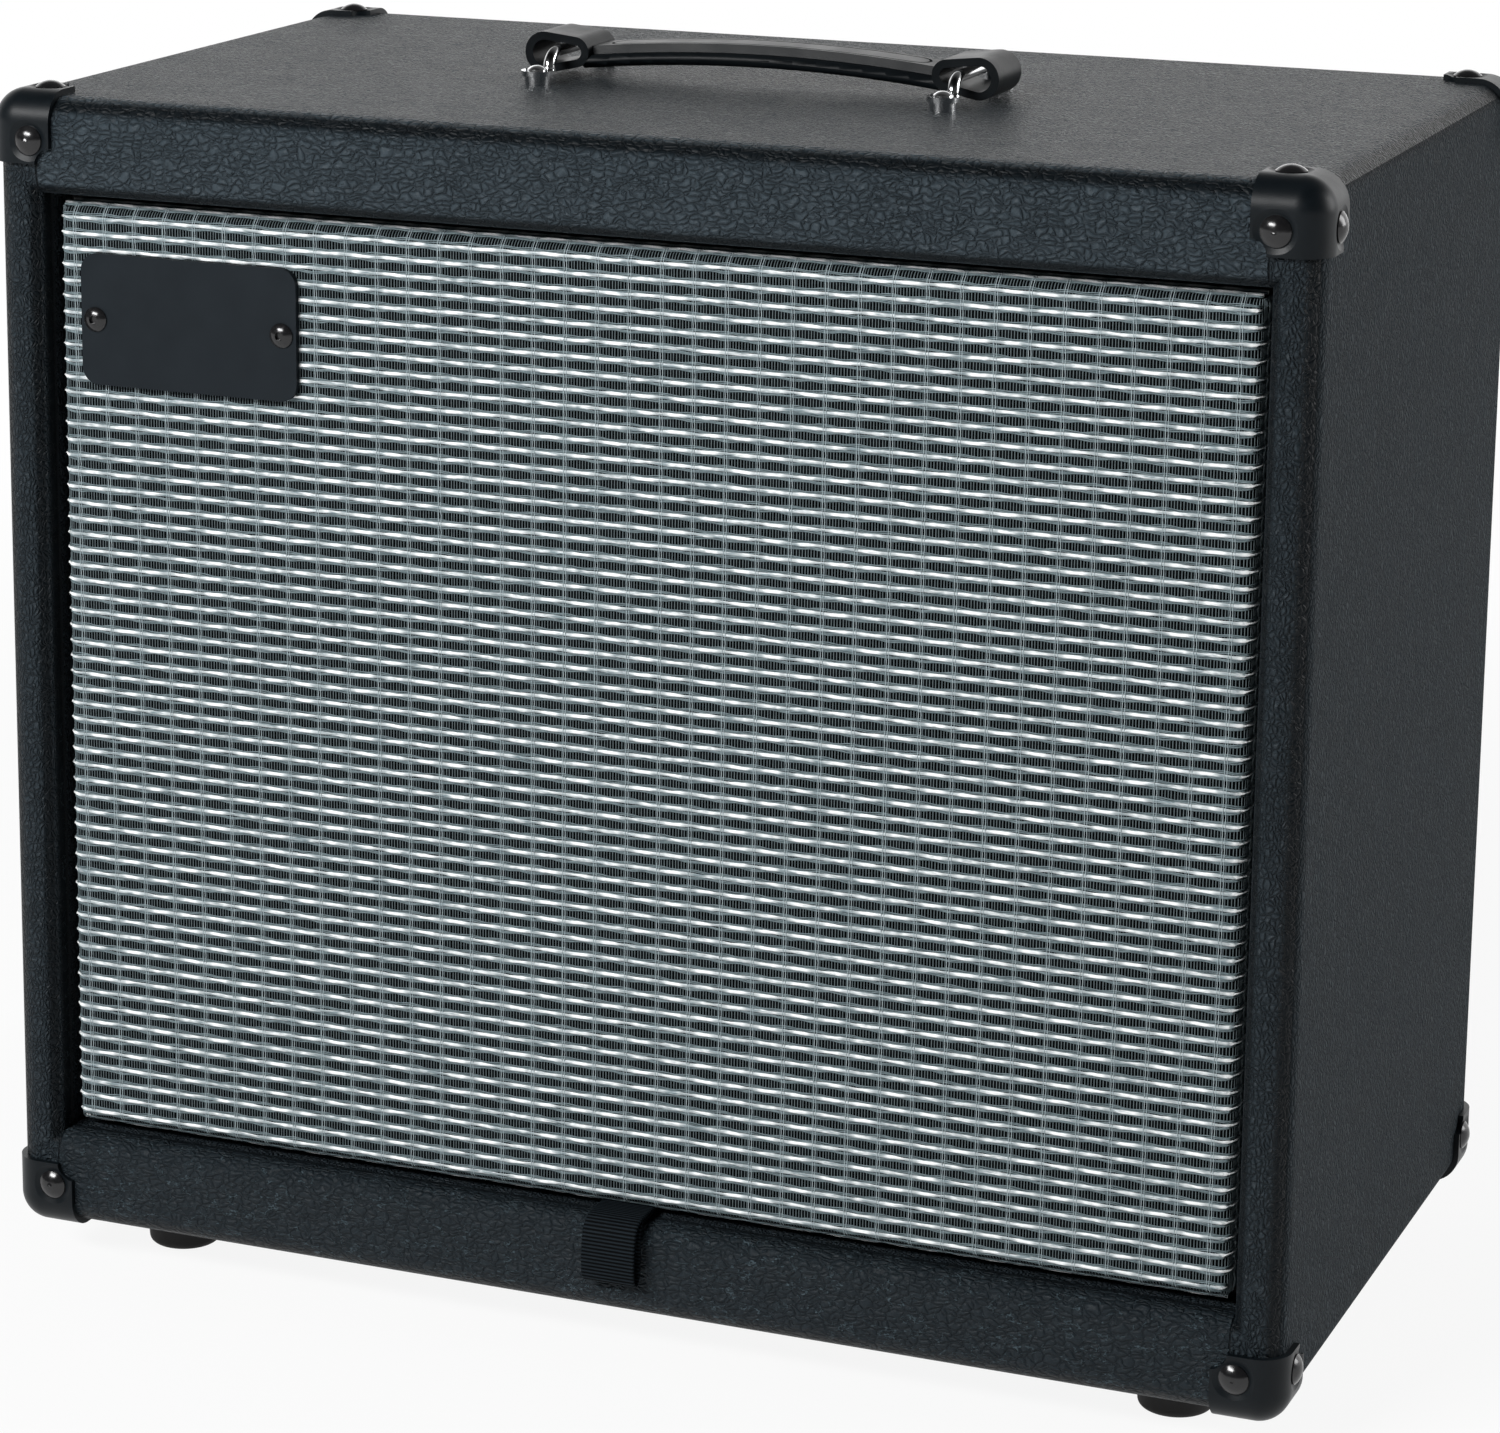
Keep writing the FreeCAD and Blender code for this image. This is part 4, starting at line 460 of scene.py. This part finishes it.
def thread(mesh, centres, sides, wide, deep, twist=None):
    """Adds a closed tube with an oval section along points; twist turns the section at each point."""
    rings = []
    for i, centre in enumerate(centres):
        before, after = centres[max(i - 1, 0)], centres[min(i + 1, len(centres) - 1)]
        run = (after - before).normalized()
        face = Vector((0, -1, 0)) if abs(run.y) < 0.7 else Vector((0, 0, 1))
        over = (face - run * face.dot(run)).normalized()
        beside = run.cross(over)
        turn = twist[i] if twist else 0.0
        ring = []
        for j in range(sides):
            angle = math.tau * j / sides
            a, b = wide * math.cos(angle), deep * math.sin(angle)
            ring.append(mesh.verts.new(
                centre + beside * (a * math.cos(turn) - b * math.sin(turn))
                + over * (a * math.sin(turn) + b * math.cos(turn))))
        rings.append(ring)
    bridged(mesh, rings)
    mesh.faces.new(reversed(rings[0]))
    mesh.faces.new(rings[-1])


def eased_line(knots, step, finer=40):
    """Even points along a smooth line through knots."""
    knots = [Vector(knot) for knot in knots]
    ends = [2 * knots[0] - knots[1]] + knots + [2 * knots[-1] - knots[-2]]
    dense = []
    for a, b, c, d in zip(ends, ends[1:], ends[2:], ends[3:]):
        for i in range(finer):
            t = i / finer
            dense.append(0.5 * (2 * b + (c - a) * t + (2 * a - 5 * b + 4 * c - d) * t * t
                                + (3 * b - a - 3 * c + d) * t ** 3))
    dense.append(knots[-1])
    even, left = [dense[0]], step
    for a, b in zip(dense, dense[1:]):
        run = (b - a).length
        while run >= left:
            a = a + (b - a) * (left / run)
            run = (b - a).length
            even.append(a)
            left = step
        left -= run
    return even


tinned_brass, place = finish("tinned_brass", Metallic=1.0)
place.noise(500, 4).coats(low=(0.48, 0.42, 0.30), high=(0.70, 0.66, 0.56), rough=0.25, rougher=0.25,
                          depth=0.00003, strength=0.4)
dress(tinned_brass, "speaker_terminals")
braids = bmesh.new()
for side in (-1, 1):
    line = eased_line([(side * lead_side, y, z) for y, z in lead_line], lead_step)
    for strand in range(strands):
        spots = []
        for i, centre in enumerate(line):
            angle = math.tau * (i * lead_step / lay_length + strand / strands)
            swing = Vector((math.cos(angle), strand_slant * math.sin(angle), strand_slant * math.sin(angle)))
            spots.append(centre + swing * strand_offset)
        thread(braids, spots, sides=6, wide=strand_radius, deep=strand_radius)
braid_piece = piece("braided_leads", braids, tinned_brass, None, "tinned_brass", "tinsel_leads")
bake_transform(braid_piece)

# Jacks and wiring: a moulded dish, screwed into the back panel, with two jacks, their nuts and a lead to the speaker.
# Dish and jacks share the corners' black nylon; the nuts are plated.

dress(moulded_black, "jack_dish", "input_jack", "link_jack")

chrome, place = finish("chrome", Metallic=1.0)
place.noise(240, 4, 0.6).coats(low=(0.66, 0.67, 0.68), high=(0.82, 0.83, 0.84), rough=0.06, rougher=0.12,
                               depth=0.00001, strength=0.2)
dress(chrome, "jack_nuts", "left_handle_bail", "right_handle_bail", "bail_bushes", "bail_screws")

lead_jacket, place = finish("lead_jacket", Specular_IOR_Level=0.45)
place.noise(600, 3).coats(low=(0.012, 0.012, 0.012), high=(0.030, 0.030, 0.031), rough=0.32, rougher=0.2,
                          depth=0.00004, strength=0.4)
dress(lead_jacket, "speaker_lead")

# Grille cloth: a stretched weave over the frame, turned round its edges and stapled behind.
# A dark scrim carries thin upright threads, grey wefts and a silver cord in each row, whose glints are painted into
# its colour.
# Pairs of paler upright threads tie the rows, so that the gaps between them look like ladders.

frame_low, frame_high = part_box("grille_frame")
half_width = (frame_high.x - frame_low.x) / 2
half_height = (frame_high.z - frame_low.z) / 2
grille_middle = (frame_high.z + frame_low.z) / 2
frame_depth = frame_high.y - frame_low.y
edge_radius, back_radius, cloth_return = 0.004, 0.0008, 0.014
quarter_turn, back_turn = edge_radius * math.pi / 2, back_radius * math.pi / 2
side_run = frame_depth - edge_radius
badge_low, badge_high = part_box("badge_plate")
press_level = badge_high.y


def turned_edge(flat, half):
    """Where a thread lies at a flat distance from the middle: out, back, and its normal out and back."""
    rest = abs(flat) - (half - edge_radius)
    if rest <= 0:
        return abs(flat), 0.0, 0.0, -1.0
    if rest < quarter_turn:
        angle = rest / edge_radius
        return (half - edge_radius + edge_radius * math.sin(angle), edge_radius * (1 - math.cos(angle)),
                math.sin(angle), -math.cos(angle))
    rest -= quarter_turn
    if rest < side_run - back_radius:
        return half, edge_radius + rest, 1.0, 0.0
    rest -= side_run - back_radius
    if rest < back_turn:
        angle = rest / back_radius
        return (half - back_radius + back_radius * math.cos(angle),
                frame_depth - back_radius + back_radius * math.sin(angle), math.cos(angle), math.sin(angle))
    rest -= back_turn
    return half - back_radius - rest, frame_depth, 0.0, 1.0


def cut_length(half):
    """Flat distance from the middle to the stapled edge."""
    return (half - edge_radius + quarter_turn + frame_depth - edge_radius - back_radius
            + back_turn + cloth_return - back_radius)


def on_cloth(flat_x, flat_z, height):
    """A point of the weave: flat places across and up, and a height over the frame's face."""
    out_x, back_x, normal_x, face_x = turned_edge(flat_x, half_width)
    out_z, back_z, normal_z, face_z = turned_edge(flat_z, half_height)
    spot = Vector((math.copysign(out_x, flat_x), frame_low.y + max(back_x, back_z),
                   grille_middle + math.copysign(out_z, flat_z)))
    face = max(face_x, face_z) if max(back_x, back_z) > edge_radius else -abs(face_x * face_z)
    normal = Vector((math.copysign(normal_x, flat_x), face, math.copysign(normal_z, flat_z))).normalized()
    spot += normal * height
    if badge_low.x < spot.x < badge_high.x and badge_low.z < spot.z < badge_high.z:
        spot.y = max(spot.y, press_level)
    return spot


row_pitch, pair_pitch, fine_count = 0.0055, 0.0113, 11
fine_pitch = pair_pitch / fine_count
cord_half, cord_deep, cord_level, cord_dip = 0.00066, 0.00025, 0.00068, 0.00012
cord_step, cord_drift = 0.0021, 0.00010
cord_waves, twist_waves = ((0.00009, 95), (0.00006, 410)), ((0.35, 260), (0.25, 610))
weft_half, weft_deep, weft_bow, weft_step = 0.00031, 0.00019, 0.00022, pair_pitch / 5
weft_lines = ((0.00080, 0.00056), (0.00128, 0.00048))
weft_waves, weft_stray, weft_phase = ((0.00009, 330),), 0.00007, 0.45
warp_half, warp_deep, warp_level, warp_step, warp_sway = 0.00016, 0.00012, 0.00034, 0.013, 0.00006
pair_half, pair_deep, pair_apart, pair_level, pair_lift = 0.00015, 0.00012, 0.00043, 0.00052, 0.00040
stray = 0.00004
least_run = 0.0005
half_cut_x, half_cut_z = cut_length(half_width), cut_length(half_height)
front_x, front_z = half_width - edge_radius, half_height - edge_radius
turn_stops = [quarter_turn * i / 5 for i in range(1, 6)]
turn_stops += [quarter_turn + side_run * i / 4 for i in range(1, 5)]
turn_stops += [quarter_turn + side_run + cloth_return * i / 3 for i in range(1, 3)]
draw = random.Random(12)


def reach(flat, front, other_front, other_cut):
    """How far a thread runs from the middle; beside the corners it stops at the fold."""
    if abs(flat) <= front:
        return other_cut - max(0.0, cloth_return - (front + edge_radius - abs(flat)))
    if abs(flat) <= front + quarter_turn + side_run:
        return other_front + edge_radius
    return other_front - (abs(flat) - front - quarter_turn - side_run)


def stations(length, front, step):
    """Places along a thread: even steps on the face, and close ones where it turns round the edge."""
    face = min(front, length)
    count = max(1, round(face / step))
    ahead = [face * i / count for i in range(count + 1)]
    ahead += [front + stop for stop in turn_stops if front + stop < length - least_run]
    if length > front:
        ahead.append(length)
    return [-flat for flat in reversed(ahead[1:])] + ahead


def waved(flat, waves, phases):
    """The sum of sine waves, each with its rise, its rate in radians a metre and its phase."""
    return sum(rise * math.sin(flat * rate + phase) for (rise, rate), phase in zip(waves, phases))


row_count = int(half_cut_z / row_pitch)
cords = bmesh.new()
wefts = {-1: bmesh.new(), 1: bmesh.new()}
for i in range(-row_count, row_count + 1):
    row = i * row_pitch
    length = reach(row, front_z, front_x, half_cut_x)
    phases = [draw.uniform(0, math.tau) for _ in range(5)]
    drift = draw.uniform(-cord_drift, cord_drift)
    spots, twist = [], []
    for flat in stations(length, front_x, cord_step):
        wander = waved(flat, cord_waves, (phases[0], phases[4]))
        under = cord_dip * (0.5 + 0.5 * math.cos(math.tau * flat / pair_pitch)) ** 6
        spots.append(on_cloth(flat, row + drift + wander, cord_level - under))
        twist.append(waved(flat, twist_waves, (phases[1], phases[2])))
    thread(cords, spots, sides=6, wide=cord_half, deep=cord_deep, twist=twist)
    for side, mesh in wefts.items():
        for apart, level in weft_lines:
            phase = draw.uniform(-weft_phase, weft_phase)
            spots = []
            for flat in stations(length, front_x, weft_step):
                bow = weft_bow * math.cos(math.tau * flat / pair_pitch + phase)
                wander = waved(flat, weft_waves, (phases[3] + side,)) + draw.uniform(-weft_stray, weft_stray)
                spots.append(on_cloth(flat, row + side * (apart + bow) + wander, level))
            thread(mesh, spots, sides=3, wide=weft_half, deep=weft_deep)

fine_warps = bmesh.new()
pairs = bmesh.new()
column_count = int(half_cut_x / fine_pitch)
for i in range(-column_count, column_count + 1):
    column = i * fine_pitch
    length = reach(column, front_x, front_z, half_cut_z)
    if i % fine_count:
        sway = draw.uniform(-warp_sway, warp_sway)
        spots = [on_cloth(column + sway + draw.uniform(-stray, stray), flat, warp_level)
                 for flat in stations(length, front_z, warp_step)]
        thread(fine_warps, spots, sides=4, wide=warp_half, deep=warp_deep)
        continue
    for side in (-1, 1):
        spots = []
        for flat in stations(length, front_z, row_pitch / 2):
            over = 0.5 + 0.5 * math.cos(math.tau * flat / row_pitch)
            spots.append(on_cloth(column + side * pair_apart + draw.uniform(-stray, stray), flat,
                                  pair_level + pair_lift * over))
        thread(pairs, spots, sides=5, wide=pair_half, deep=pair_deep)

silver_cord, place = finish("silver_cord", Specular_IOR_Level=0.7)
# Painted glints: the cord's colour is painted white in long patches, brightest between the warp pairs and darker
# where it dips under them, as highlight and shade.
glint_patches = place.stretched(95, 600, 360).noise(1, 3, 0.6)
flecks = place.stretched(500, 1800, 1800).noise(1, 2)
shred = place.stretched(300, 2200, 2200).noise(1, 2)
pair_dip_shade = 0.5 - 0.5 * place.maths("COSINE", place.axis("X") * (math.tau / pair_pitch))
painted_glints = glint_patches.eased(0.26, 0.56) * (0.7 + 0.5 * shred) * pair_dip_shade.eased(0.1, 0.8, 0.40, 1.0)
painted_glints.between((0.145, 0.205, 0.228), (0.98, 1.0, 1.0)).feeds("Base Color")
(0.22 + 0.25 * shred).feeds("Roughness")
flecks.bumps(0.0003, 0.6)

grey_yarn, place = finish("grey_yarn", Specular_IOR_Level=0.4)
lay = place.stretched(420, 2600, 2600).noise(1, 3, 0.6)
lay.eased(0.3, 0.7).between((0.115, 0.160, 0.176), (0.225, 0.292, 0.312)).feeds("Base Color")
(0.5 + 0.25 * lay).feeds("Roughness")
lay.bumps(0.0003, 0.7)

pale_yarn, place = finish("pale_yarn", Specular_IOR_Level=0.4)
lay = place.stretched(1600, 1600, 500).noise(1, 3)
lay.coats(low=(0.24, 0.30, 0.32), high=(0.46, 0.54, 0.57), rough=0.5, rougher=0.25, depth=0.0002, strength=0.5)

dark_yarn, place = finish("dark_yarn", Specular_IOR_Level=0.35)
lay = place.stretched(1600, 1600, 500).noise(1, 3)
lay.coats(low=(0.070, 0.094, 0.102), high=(0.180, 0.226, 0.244), rough=0.55, rougher=0.25, depth=0.0002,
          strength=0.5)

scrim_black, place = finish("scrim_black", Specular_IOR_Level=0.04)
place.cells(1800).coats(low=(0.0008, 0.0012, 0.0015), high=(0.0030, 0.0042, 0.0050), rough=0.7, rougher=0.2,
                        depth=0.0002, strength=0.4)

scrim = bmesh.new()
scrim_thickness, scrim_lift = 0.00018, 0.0001
hem_radius, least_radius, corner_steps = 0.0046, 0.0006, 5
levels = [0.0] + turn_stops + [half_cut_x - front_x]


def hem_loop(past):
    """The rounded rectangle that the scrim makes at a flat distance past the start of its edges."""
    out_x, back, normal, face = turned_edge(front_x + past, half_width)
    inset = half_width - out_x
    radius = max(least_radius, hem_radius - inset)
    spots = []
    for corner, (sx, sz) in enumerate(((1, 1), (-1, 1), (-1, -1), (1, -1))):
        for i in range(corner_steps + 1):
            angle = math.pi / 2 * (corner + i / corner_steps)
            spots.append(Vector((
                sx * (half_width - inset - radius) + radius * math.cos(angle) + normal * scrim_lift * sx,
                frame_low.y + back + face * scrim_thickness,
                grille_middle + sz * (half_height - inset - radius) + radius * math.sin(angle)
                + normal * scrim_lift * sz)))
    return spots


loops = [[scrim.verts.new(spot) for spot in hem_loop(past)] for past in levels]
scrim.faces.new(loops[0])
bridged(scrim, loops)
scrim_piece = piece("grille_scrim", scrim, scrim_black, "grille", "grille_weave", "grille_cloth")
cord_piece = piece("silver_cords", cords, silver_cord, "grille", "grille_weave")
over_piece = piece("upper_wefts", wefts[1], grey_yarn, "grille", "grille_weave")
under_piece = piece("lower_wefts", wefts[-1], grey_yarn, "grille", "grille_weave")
fine_piece = piece("fine_warps", fine_warps, dark_yarn, "grille", "grille_weave")
pair_piece = piece("warp_pairs", pairs, pale_yarn, "grille", "grille_weave")
2 * half_cut_x
2 * half_cut_z

# Hook-and-loop tapes: woven tape with nylon hooks on the frame and soft loops on the baffle.
# Staples hold the strips, and together they keep the grille in the mouth.

tape_long, tape_wide, tape_base, tape_spread = 0.060, 0.014, 0.0005, 0.105
tape_ribs, tape_rib_rise = 60, 0.00006
tape_section = ((-0.5, 0.1), (-0.46, 0.8), (-0.38, 1), (0.38, 1), (0.46, 0.8), (0.5, 0.1), (0.5, 0), (-0.5, 0))
filament_rows, filament_columns, filament_reach, filament_radius, tip_gap = 38, 8, 0.0007, 0.00011, 0.0001
field_long, field_wide = 0.97, 0.8
tape_black, place = finish("tape_black", Specular_IOR_Level=0.2)
place.noise(1500, 3).coats(low=(0.008, 0.008, 0.008), high=(0.03, 0.03, 0.03), rough=0.75, rougher=0.2,
                           depth=0.0003, strength=0.6)


def tape_strip(mesh, middle, along, beside, back, top, bend):
    """Adds one strip of ribbed tape with a field of short bent filaments that stand from back to top along Y."""
    rise = math.copysign(1, top - back)
    rings = []
    for i in range(tape_ribs + 1):
        ring = []
        rib = tape_rib_rise * math.cos(math.pi * i)
        for share, lift in tape_section:
            spot = middle + along * (tape_long * (i / tape_ribs - 0.5)) + beside * (tape_wide * share)
            spot.y = back + rise * (lift * tape_base + (rib if lift == 1 else 0))
            ring.append(mesh.verts.new(spot))
        rings.append(ring)
    bridged(mesh, rings)
    mesh.faces.new(rings[0])
    mesh.faces.new(reversed(rings[-1]))
    for i in range(filament_rows):
        for j in range(filament_columns):
            root = (middle + along * (tape_long * ((i + 0.5) / filament_rows - 0.5) * field_long)
                    + beside * (tape_wide * ((j + 0.5) / filament_columns - 0.5) * field_wide))
            lean = (along * draw.choice((-1, 1)) + beside * draw.uniform(-bend, bend)).normalized()
            spots = []
            for out, lift in ((0, 0), (0.05, 0.62), (0.35, 0.97), (0.75, 0.92), (1, 0.55 - 0.5 * bend)):
                spot = root + lean * (filament_reach * out)
                spot.y = back + rise * tape_base + (top - back - rise * (tape_base + tip_gap)) * lift
                spots.append(spot)
            thread(mesh, spots, sides=3, wide=filament_radius, deep=filament_radius)


def tapes(name, body, node, back, top, bend):
    """Two strips at each corner of the grille, one upright and one across."""
    mesh = bmesh.new()
    x_axis, z_axis = Vector((1, 0, 0)), Vector((0, 0, 1))
    for across in (-1, 1):
        for up in (-1, 1):
            beside_edge = Vector((across * (half_width - tape_wide / 2), 0, grille_middle + up * tape_spread))
            tape_strip(mesh, beside_edge, z_axis, x_axis, back, top, bend)
            below_edge = Vector((across * tape_spread, 0, grille_middle + up * (half_height - tape_wide / 2)))
            tape_strip(mesh, below_edge, x_axis, z_axis, back, top, bend)
    return piece(name, mesh, tape_black, body, "tape_black", node)


tape_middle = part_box("grille_hook_tapes")[1].y
tapes("hook_strips", "grille", "grille_hook_tapes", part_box("grille_hook_tapes")[0].y, tape_middle, bend=0.1)
tapes("loop_strips", "cabinet", "baffle_loop_tapes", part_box("baffle_loop_tapes")[1].y, tape_middle, bend=0.9)

# Badge plate: a satin black plate on the cloth, held by two dome-headed screws.
# Its face is plain.

badge_paint, place = finish("badge_paint", Specular_IOR_Level=0.12)
orange_peel = place.noise(1300, 3)
haze = place.noise(90, 3)
haze.between((0.0058, 0.0088, 0.0118), (0.0108, 0.0150, 0.0190)).feeds("Base Color")
(0.52 + 0.14 * haze).feeds("Roughness")
orange_peel.bumps(0.00005, 0.4)
dress(badge_paint, "badge_plate")

# Pull tab: one length of ribbed black webbing, looped below the grille, with its tails stapled behind.
# A finger in the loop pulls the grille off its tapes; the webbing turns down where it leaves the grille's lower edge.

web_half, web_thick, rib_pitch, rib_rise = 0.0097, 0.00094, 0.00125, 0.00024
web_lip, web_shoulder, web_fray = 0.0003, 0.0009, 0.00008
web_line = [(-0.1103, 0.0520), (-0.1150, 0.0520), (-0.1200, 0.0520), (-0.1245, 0.0520), (-0.1290, 0.0519),
            (-0.1330, 0.0511), (-0.1360, 0.0485), (-0.1373, 0.0440), (-0.1378, 0.0390), (-0.1378, 0.0345),
            (-0.1371, 0.0313), (-0.1353, 0.0298), (-0.1336, 0.0308), (-0.1325, 0.0340), (-0.1322, 0.0390),
            (-0.1322, 0.0440), (-0.1318, 0.0480), (-0.1302, 0.0502), (-0.1275, 0.0508), (-0.1245, 0.0508),
            (-0.1200, 0.0508), (-0.1150, 0.0508), (-0.1110, 0.0508), (-0.1096, 0.0514), (-0.1093, 0.0530),
            (-0.1093, 0.0590), (-0.1093, 0.0643)]
web_step = rib_pitch / 6
webbing = bmesh.new()
rib_mark = webbing.verts.layers.float.new("rib")
spots = eased_line([(0, y, z) for y, z in web_line], web_step)
rings = []
for i, spot in enumerate(spots):
    run = (spots[min(i + 1, len(spots) - 1)] - spots[max(i - 1, 0)]).normalized()
    out = Vector((1, 0, 0)).cross(run)
    rib = abs(math.sin(math.pi * i * web_step / rib_pitch)) ** 0.7
    half = web_thick / 2 + rib_rise * (rib - 0.5)
    edge = web_half + web_fray * math.sin(math.tau * i * web_step / rib_pitch)
    lip, shoulder = web_half - web_lip, web_half - web_shoulder
    rings.append([webbing.verts.new(spot + Vector((x, 0, 0)) + out * (half * lift)) for x, lift in (
        (-edge, 0), (-lip, 0.9), (-shoulder, 1), (shoulder, 1), (lip, 0.9),
        (edge, 0), (lip, -0.9), (shoulder, -1), (-shoulder, -1), (-lip, -0.9))])
    for vert in rings[-1]:
        vert[rib_mark] = rib
bridged(webbing, rings)
webbing.faces.new(rings[0])
webbing.faces.new(reversed(rings[-1]))
webbing_black, place = finish("webbing_black", Specular_IOR_Level=0.06)
yarns = place.stretched(300, 2400, 2400).noise(1, 3)
ribs = place.add("Attribute", {"attribute_name": "rib"}, {}, "Fac")
# Painted highlights: the rib crests are painted lighter and the hollows between them darker, as light falling on the
# ribs, with random yarn tone.
yarn_tone_and_rib_highlights = ribs.eased(0.60, 1.0) * (0.5 + 0.8 * yarns)
yarn_tone_and_rib_highlights.between((0.0002, 0.0005, 0.0008), (0.0130, 0.0185, 0.0235)).feeds("Base Color")
(0.6 + 0.25 * yarns).feeds("Roughness")
yarns.bumps(0.0002, 0.6)
web_piece = piece("webbing_tab", webbing, webbing_black, None, "webbing_black", "pull_tab", "tab_tails")
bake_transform(web_piece)

# Strap handle: a moulded rubber strap over a spring core, with a loop at each end.
# Chromed bails, screwed down through polished bushes, hold its loops.

strap_rubber, place = finish("strap_rubber", Specular_IOR_Level=0.09)
pores = place.noise(1900, 3)
shine = place.noise(110, 3)
shine.between((0.0025, 0.0036, 0.0046), (0.0070, 0.0090, 0.0106)).feeds("Base Color")
(0.30 + 0.18 * shine).feeds("Roughness")
pores.bumps(0.00008, 0.5)
dress(strap_rubber, "handle_strap")

# Studio: a plain pale floor and a pale surround behind the cabinet, dark overhead and in front.
# One wide soft lamp in front at the left and one at the right rear light it evenly.

floor_half, floor_drop = 14, 0.0002
focal, yaw, pitch, roll, distance = 4772.41, 0.390944, 0.230335, 0.007018, 1.688482
photo_width = 1500
target = Vector((-0.039679, 0.0, 0.259615))


def white_rays(tree, mirrored):
    """Rays from the camera, and all rays that see plain white: mirrored is the share of it in reflections."""
    rays = tree.nodes.new("ShaderNodeLightPath")
    from_camera = Shade(tree, rays.outputs["Is Camera Ray"])
    seen = from_camera
    for kind in ("Glossy", "Transmission"):
        seen = seen.maths("MAXIMUM", seen, mirrored * Shade(tree, rays.outputs[f"Is {kind} Ray"]))
    return from_camera, seen


floor_mesh = bmesh.new()
bmesh.ops.create_grid(floor_mesh, x_segments=8, y_segments=8, size=floor_half)
floor_data = bpy.data.meshes.new("studio_floor")
floor_mesh.to_mesh(floor_data)
floor_mesh.free()
floor = bpy.data.objects.new("studio_floor", floor_data)
bpy.context.scene.collection.objects.link(floor)
floor.location.z = cad_box[0].z - floor_drop
floor_paint, place = finish("floor_paint", Base_Color=(0.80, 0.80, 0.80, 1), Roughness=0.9, Specular_IOR_Level=0.1)
tree = place.tree
_, seen = white_rays(tree, mirrored=1.0)
glow = place.add("Emission", {}, {"Color": (1, 1, 1, 1), "Strength": 1.0})
lit = Shade(tree, tree.nodes["Principled BSDF"].outputs[0])
away = place.add("VectorMath", {"operation": "LENGTH"}, {0: place}, "Value")
mixed = place.add("MixShader", {}, {0: seen * away.eased(0.45, 1.6, 0.9, 1.0), 1: lit, 2: glow})
tree.links.new(mixed.socket, tree.nodes["Material Output"].inputs["Surface"])
floor_data.materials.append(floor_paint)

world = bpy.data.worlds.new("studio")
world.use_nodes = True
tree = world.node_tree
sky = Shade(tree, tree.nodes.new("ShaderNodeTexCoord").outputs["Generated"])
behind = sky.axis("Y").eased(-0.2, 0.85, 0.05, 1.80)
overhead = sky.axis("Z").eased(0.30, 0.75, 1.0, 0.08)
backdrop = sky.axis("Y").eased(0.1, 0.5) * sky.axis("Z").eased(0.25, 0.5, 1.0, 0.0)
from_camera, seen = white_rays(tree, mirrored=backdrop)
strength = seen.maths("MAXIMUM", seen, (1 - from_camera) * behind * overhead)
tree.links.new(strength.socket, tree.nodes["Background"].inputs["Strength"])
tree.nodes["Background"].inputs["Color"].default_value = (1, 1, 1, 1)
bpy.context.scene.world = world


def softbox(name, spot, aim, width, height, power):
    """A rectangular lamp of that size in metres and power in watts, turned to a point."""
    light = bpy.data.lights.new(name, "AREA")
    light.shape = "RECTANGLE"
    light.size, light.size_y, light.energy = width, height, power
    lamp = bpy.data.objects.new(name, light)
    bpy.context.scene.collection.objects.link(lamp)
    lamp.location = spot
    lamp.rotation_euler = (Vector(aim) - Vector(spot)).to_track_quat("-Z", "Y").to_euler()


softbox("front_box", spot=(-0.75, -1.65, 1.30), aim=(0, -0.1, 0.22), width=1.1, height=0.36, power=46)
softbox("rear_box", spot=(1.9, 0.8, 0.9), aim=(0.1, 0, 0.25), width=0.8, height=1.0, power=20)

ahead = Vector((-math.sin(yaw) * math.cos(pitch), math.cos(yaw) * math.cos(pitch), -math.sin(pitch)))
camera_data = bpy.data.cameras.new("camera")
camera_data.sensor_width = 36
camera_data.lens = focal * camera_data.sensor_width / photo_width
camera_data.shift_x, camera_data.shift_y = 0.06, -0.13
camera = bpy.data.objects.new("camera", camera_data)
bpy.context.scene.collection.objects.link(camera)
camera.rotation_mode = "QUATERNION"
camera.location = target - ahead * distance
camera.rotation_quaternion = ahead.to_track_quat("-Z", "Y") @ Matrix.Rotation(roll, 3, "Z").to_quaternion()
bpy.context.scene.camera = camera
bpy.context.scene.view_settings.view_transform = "Standard"
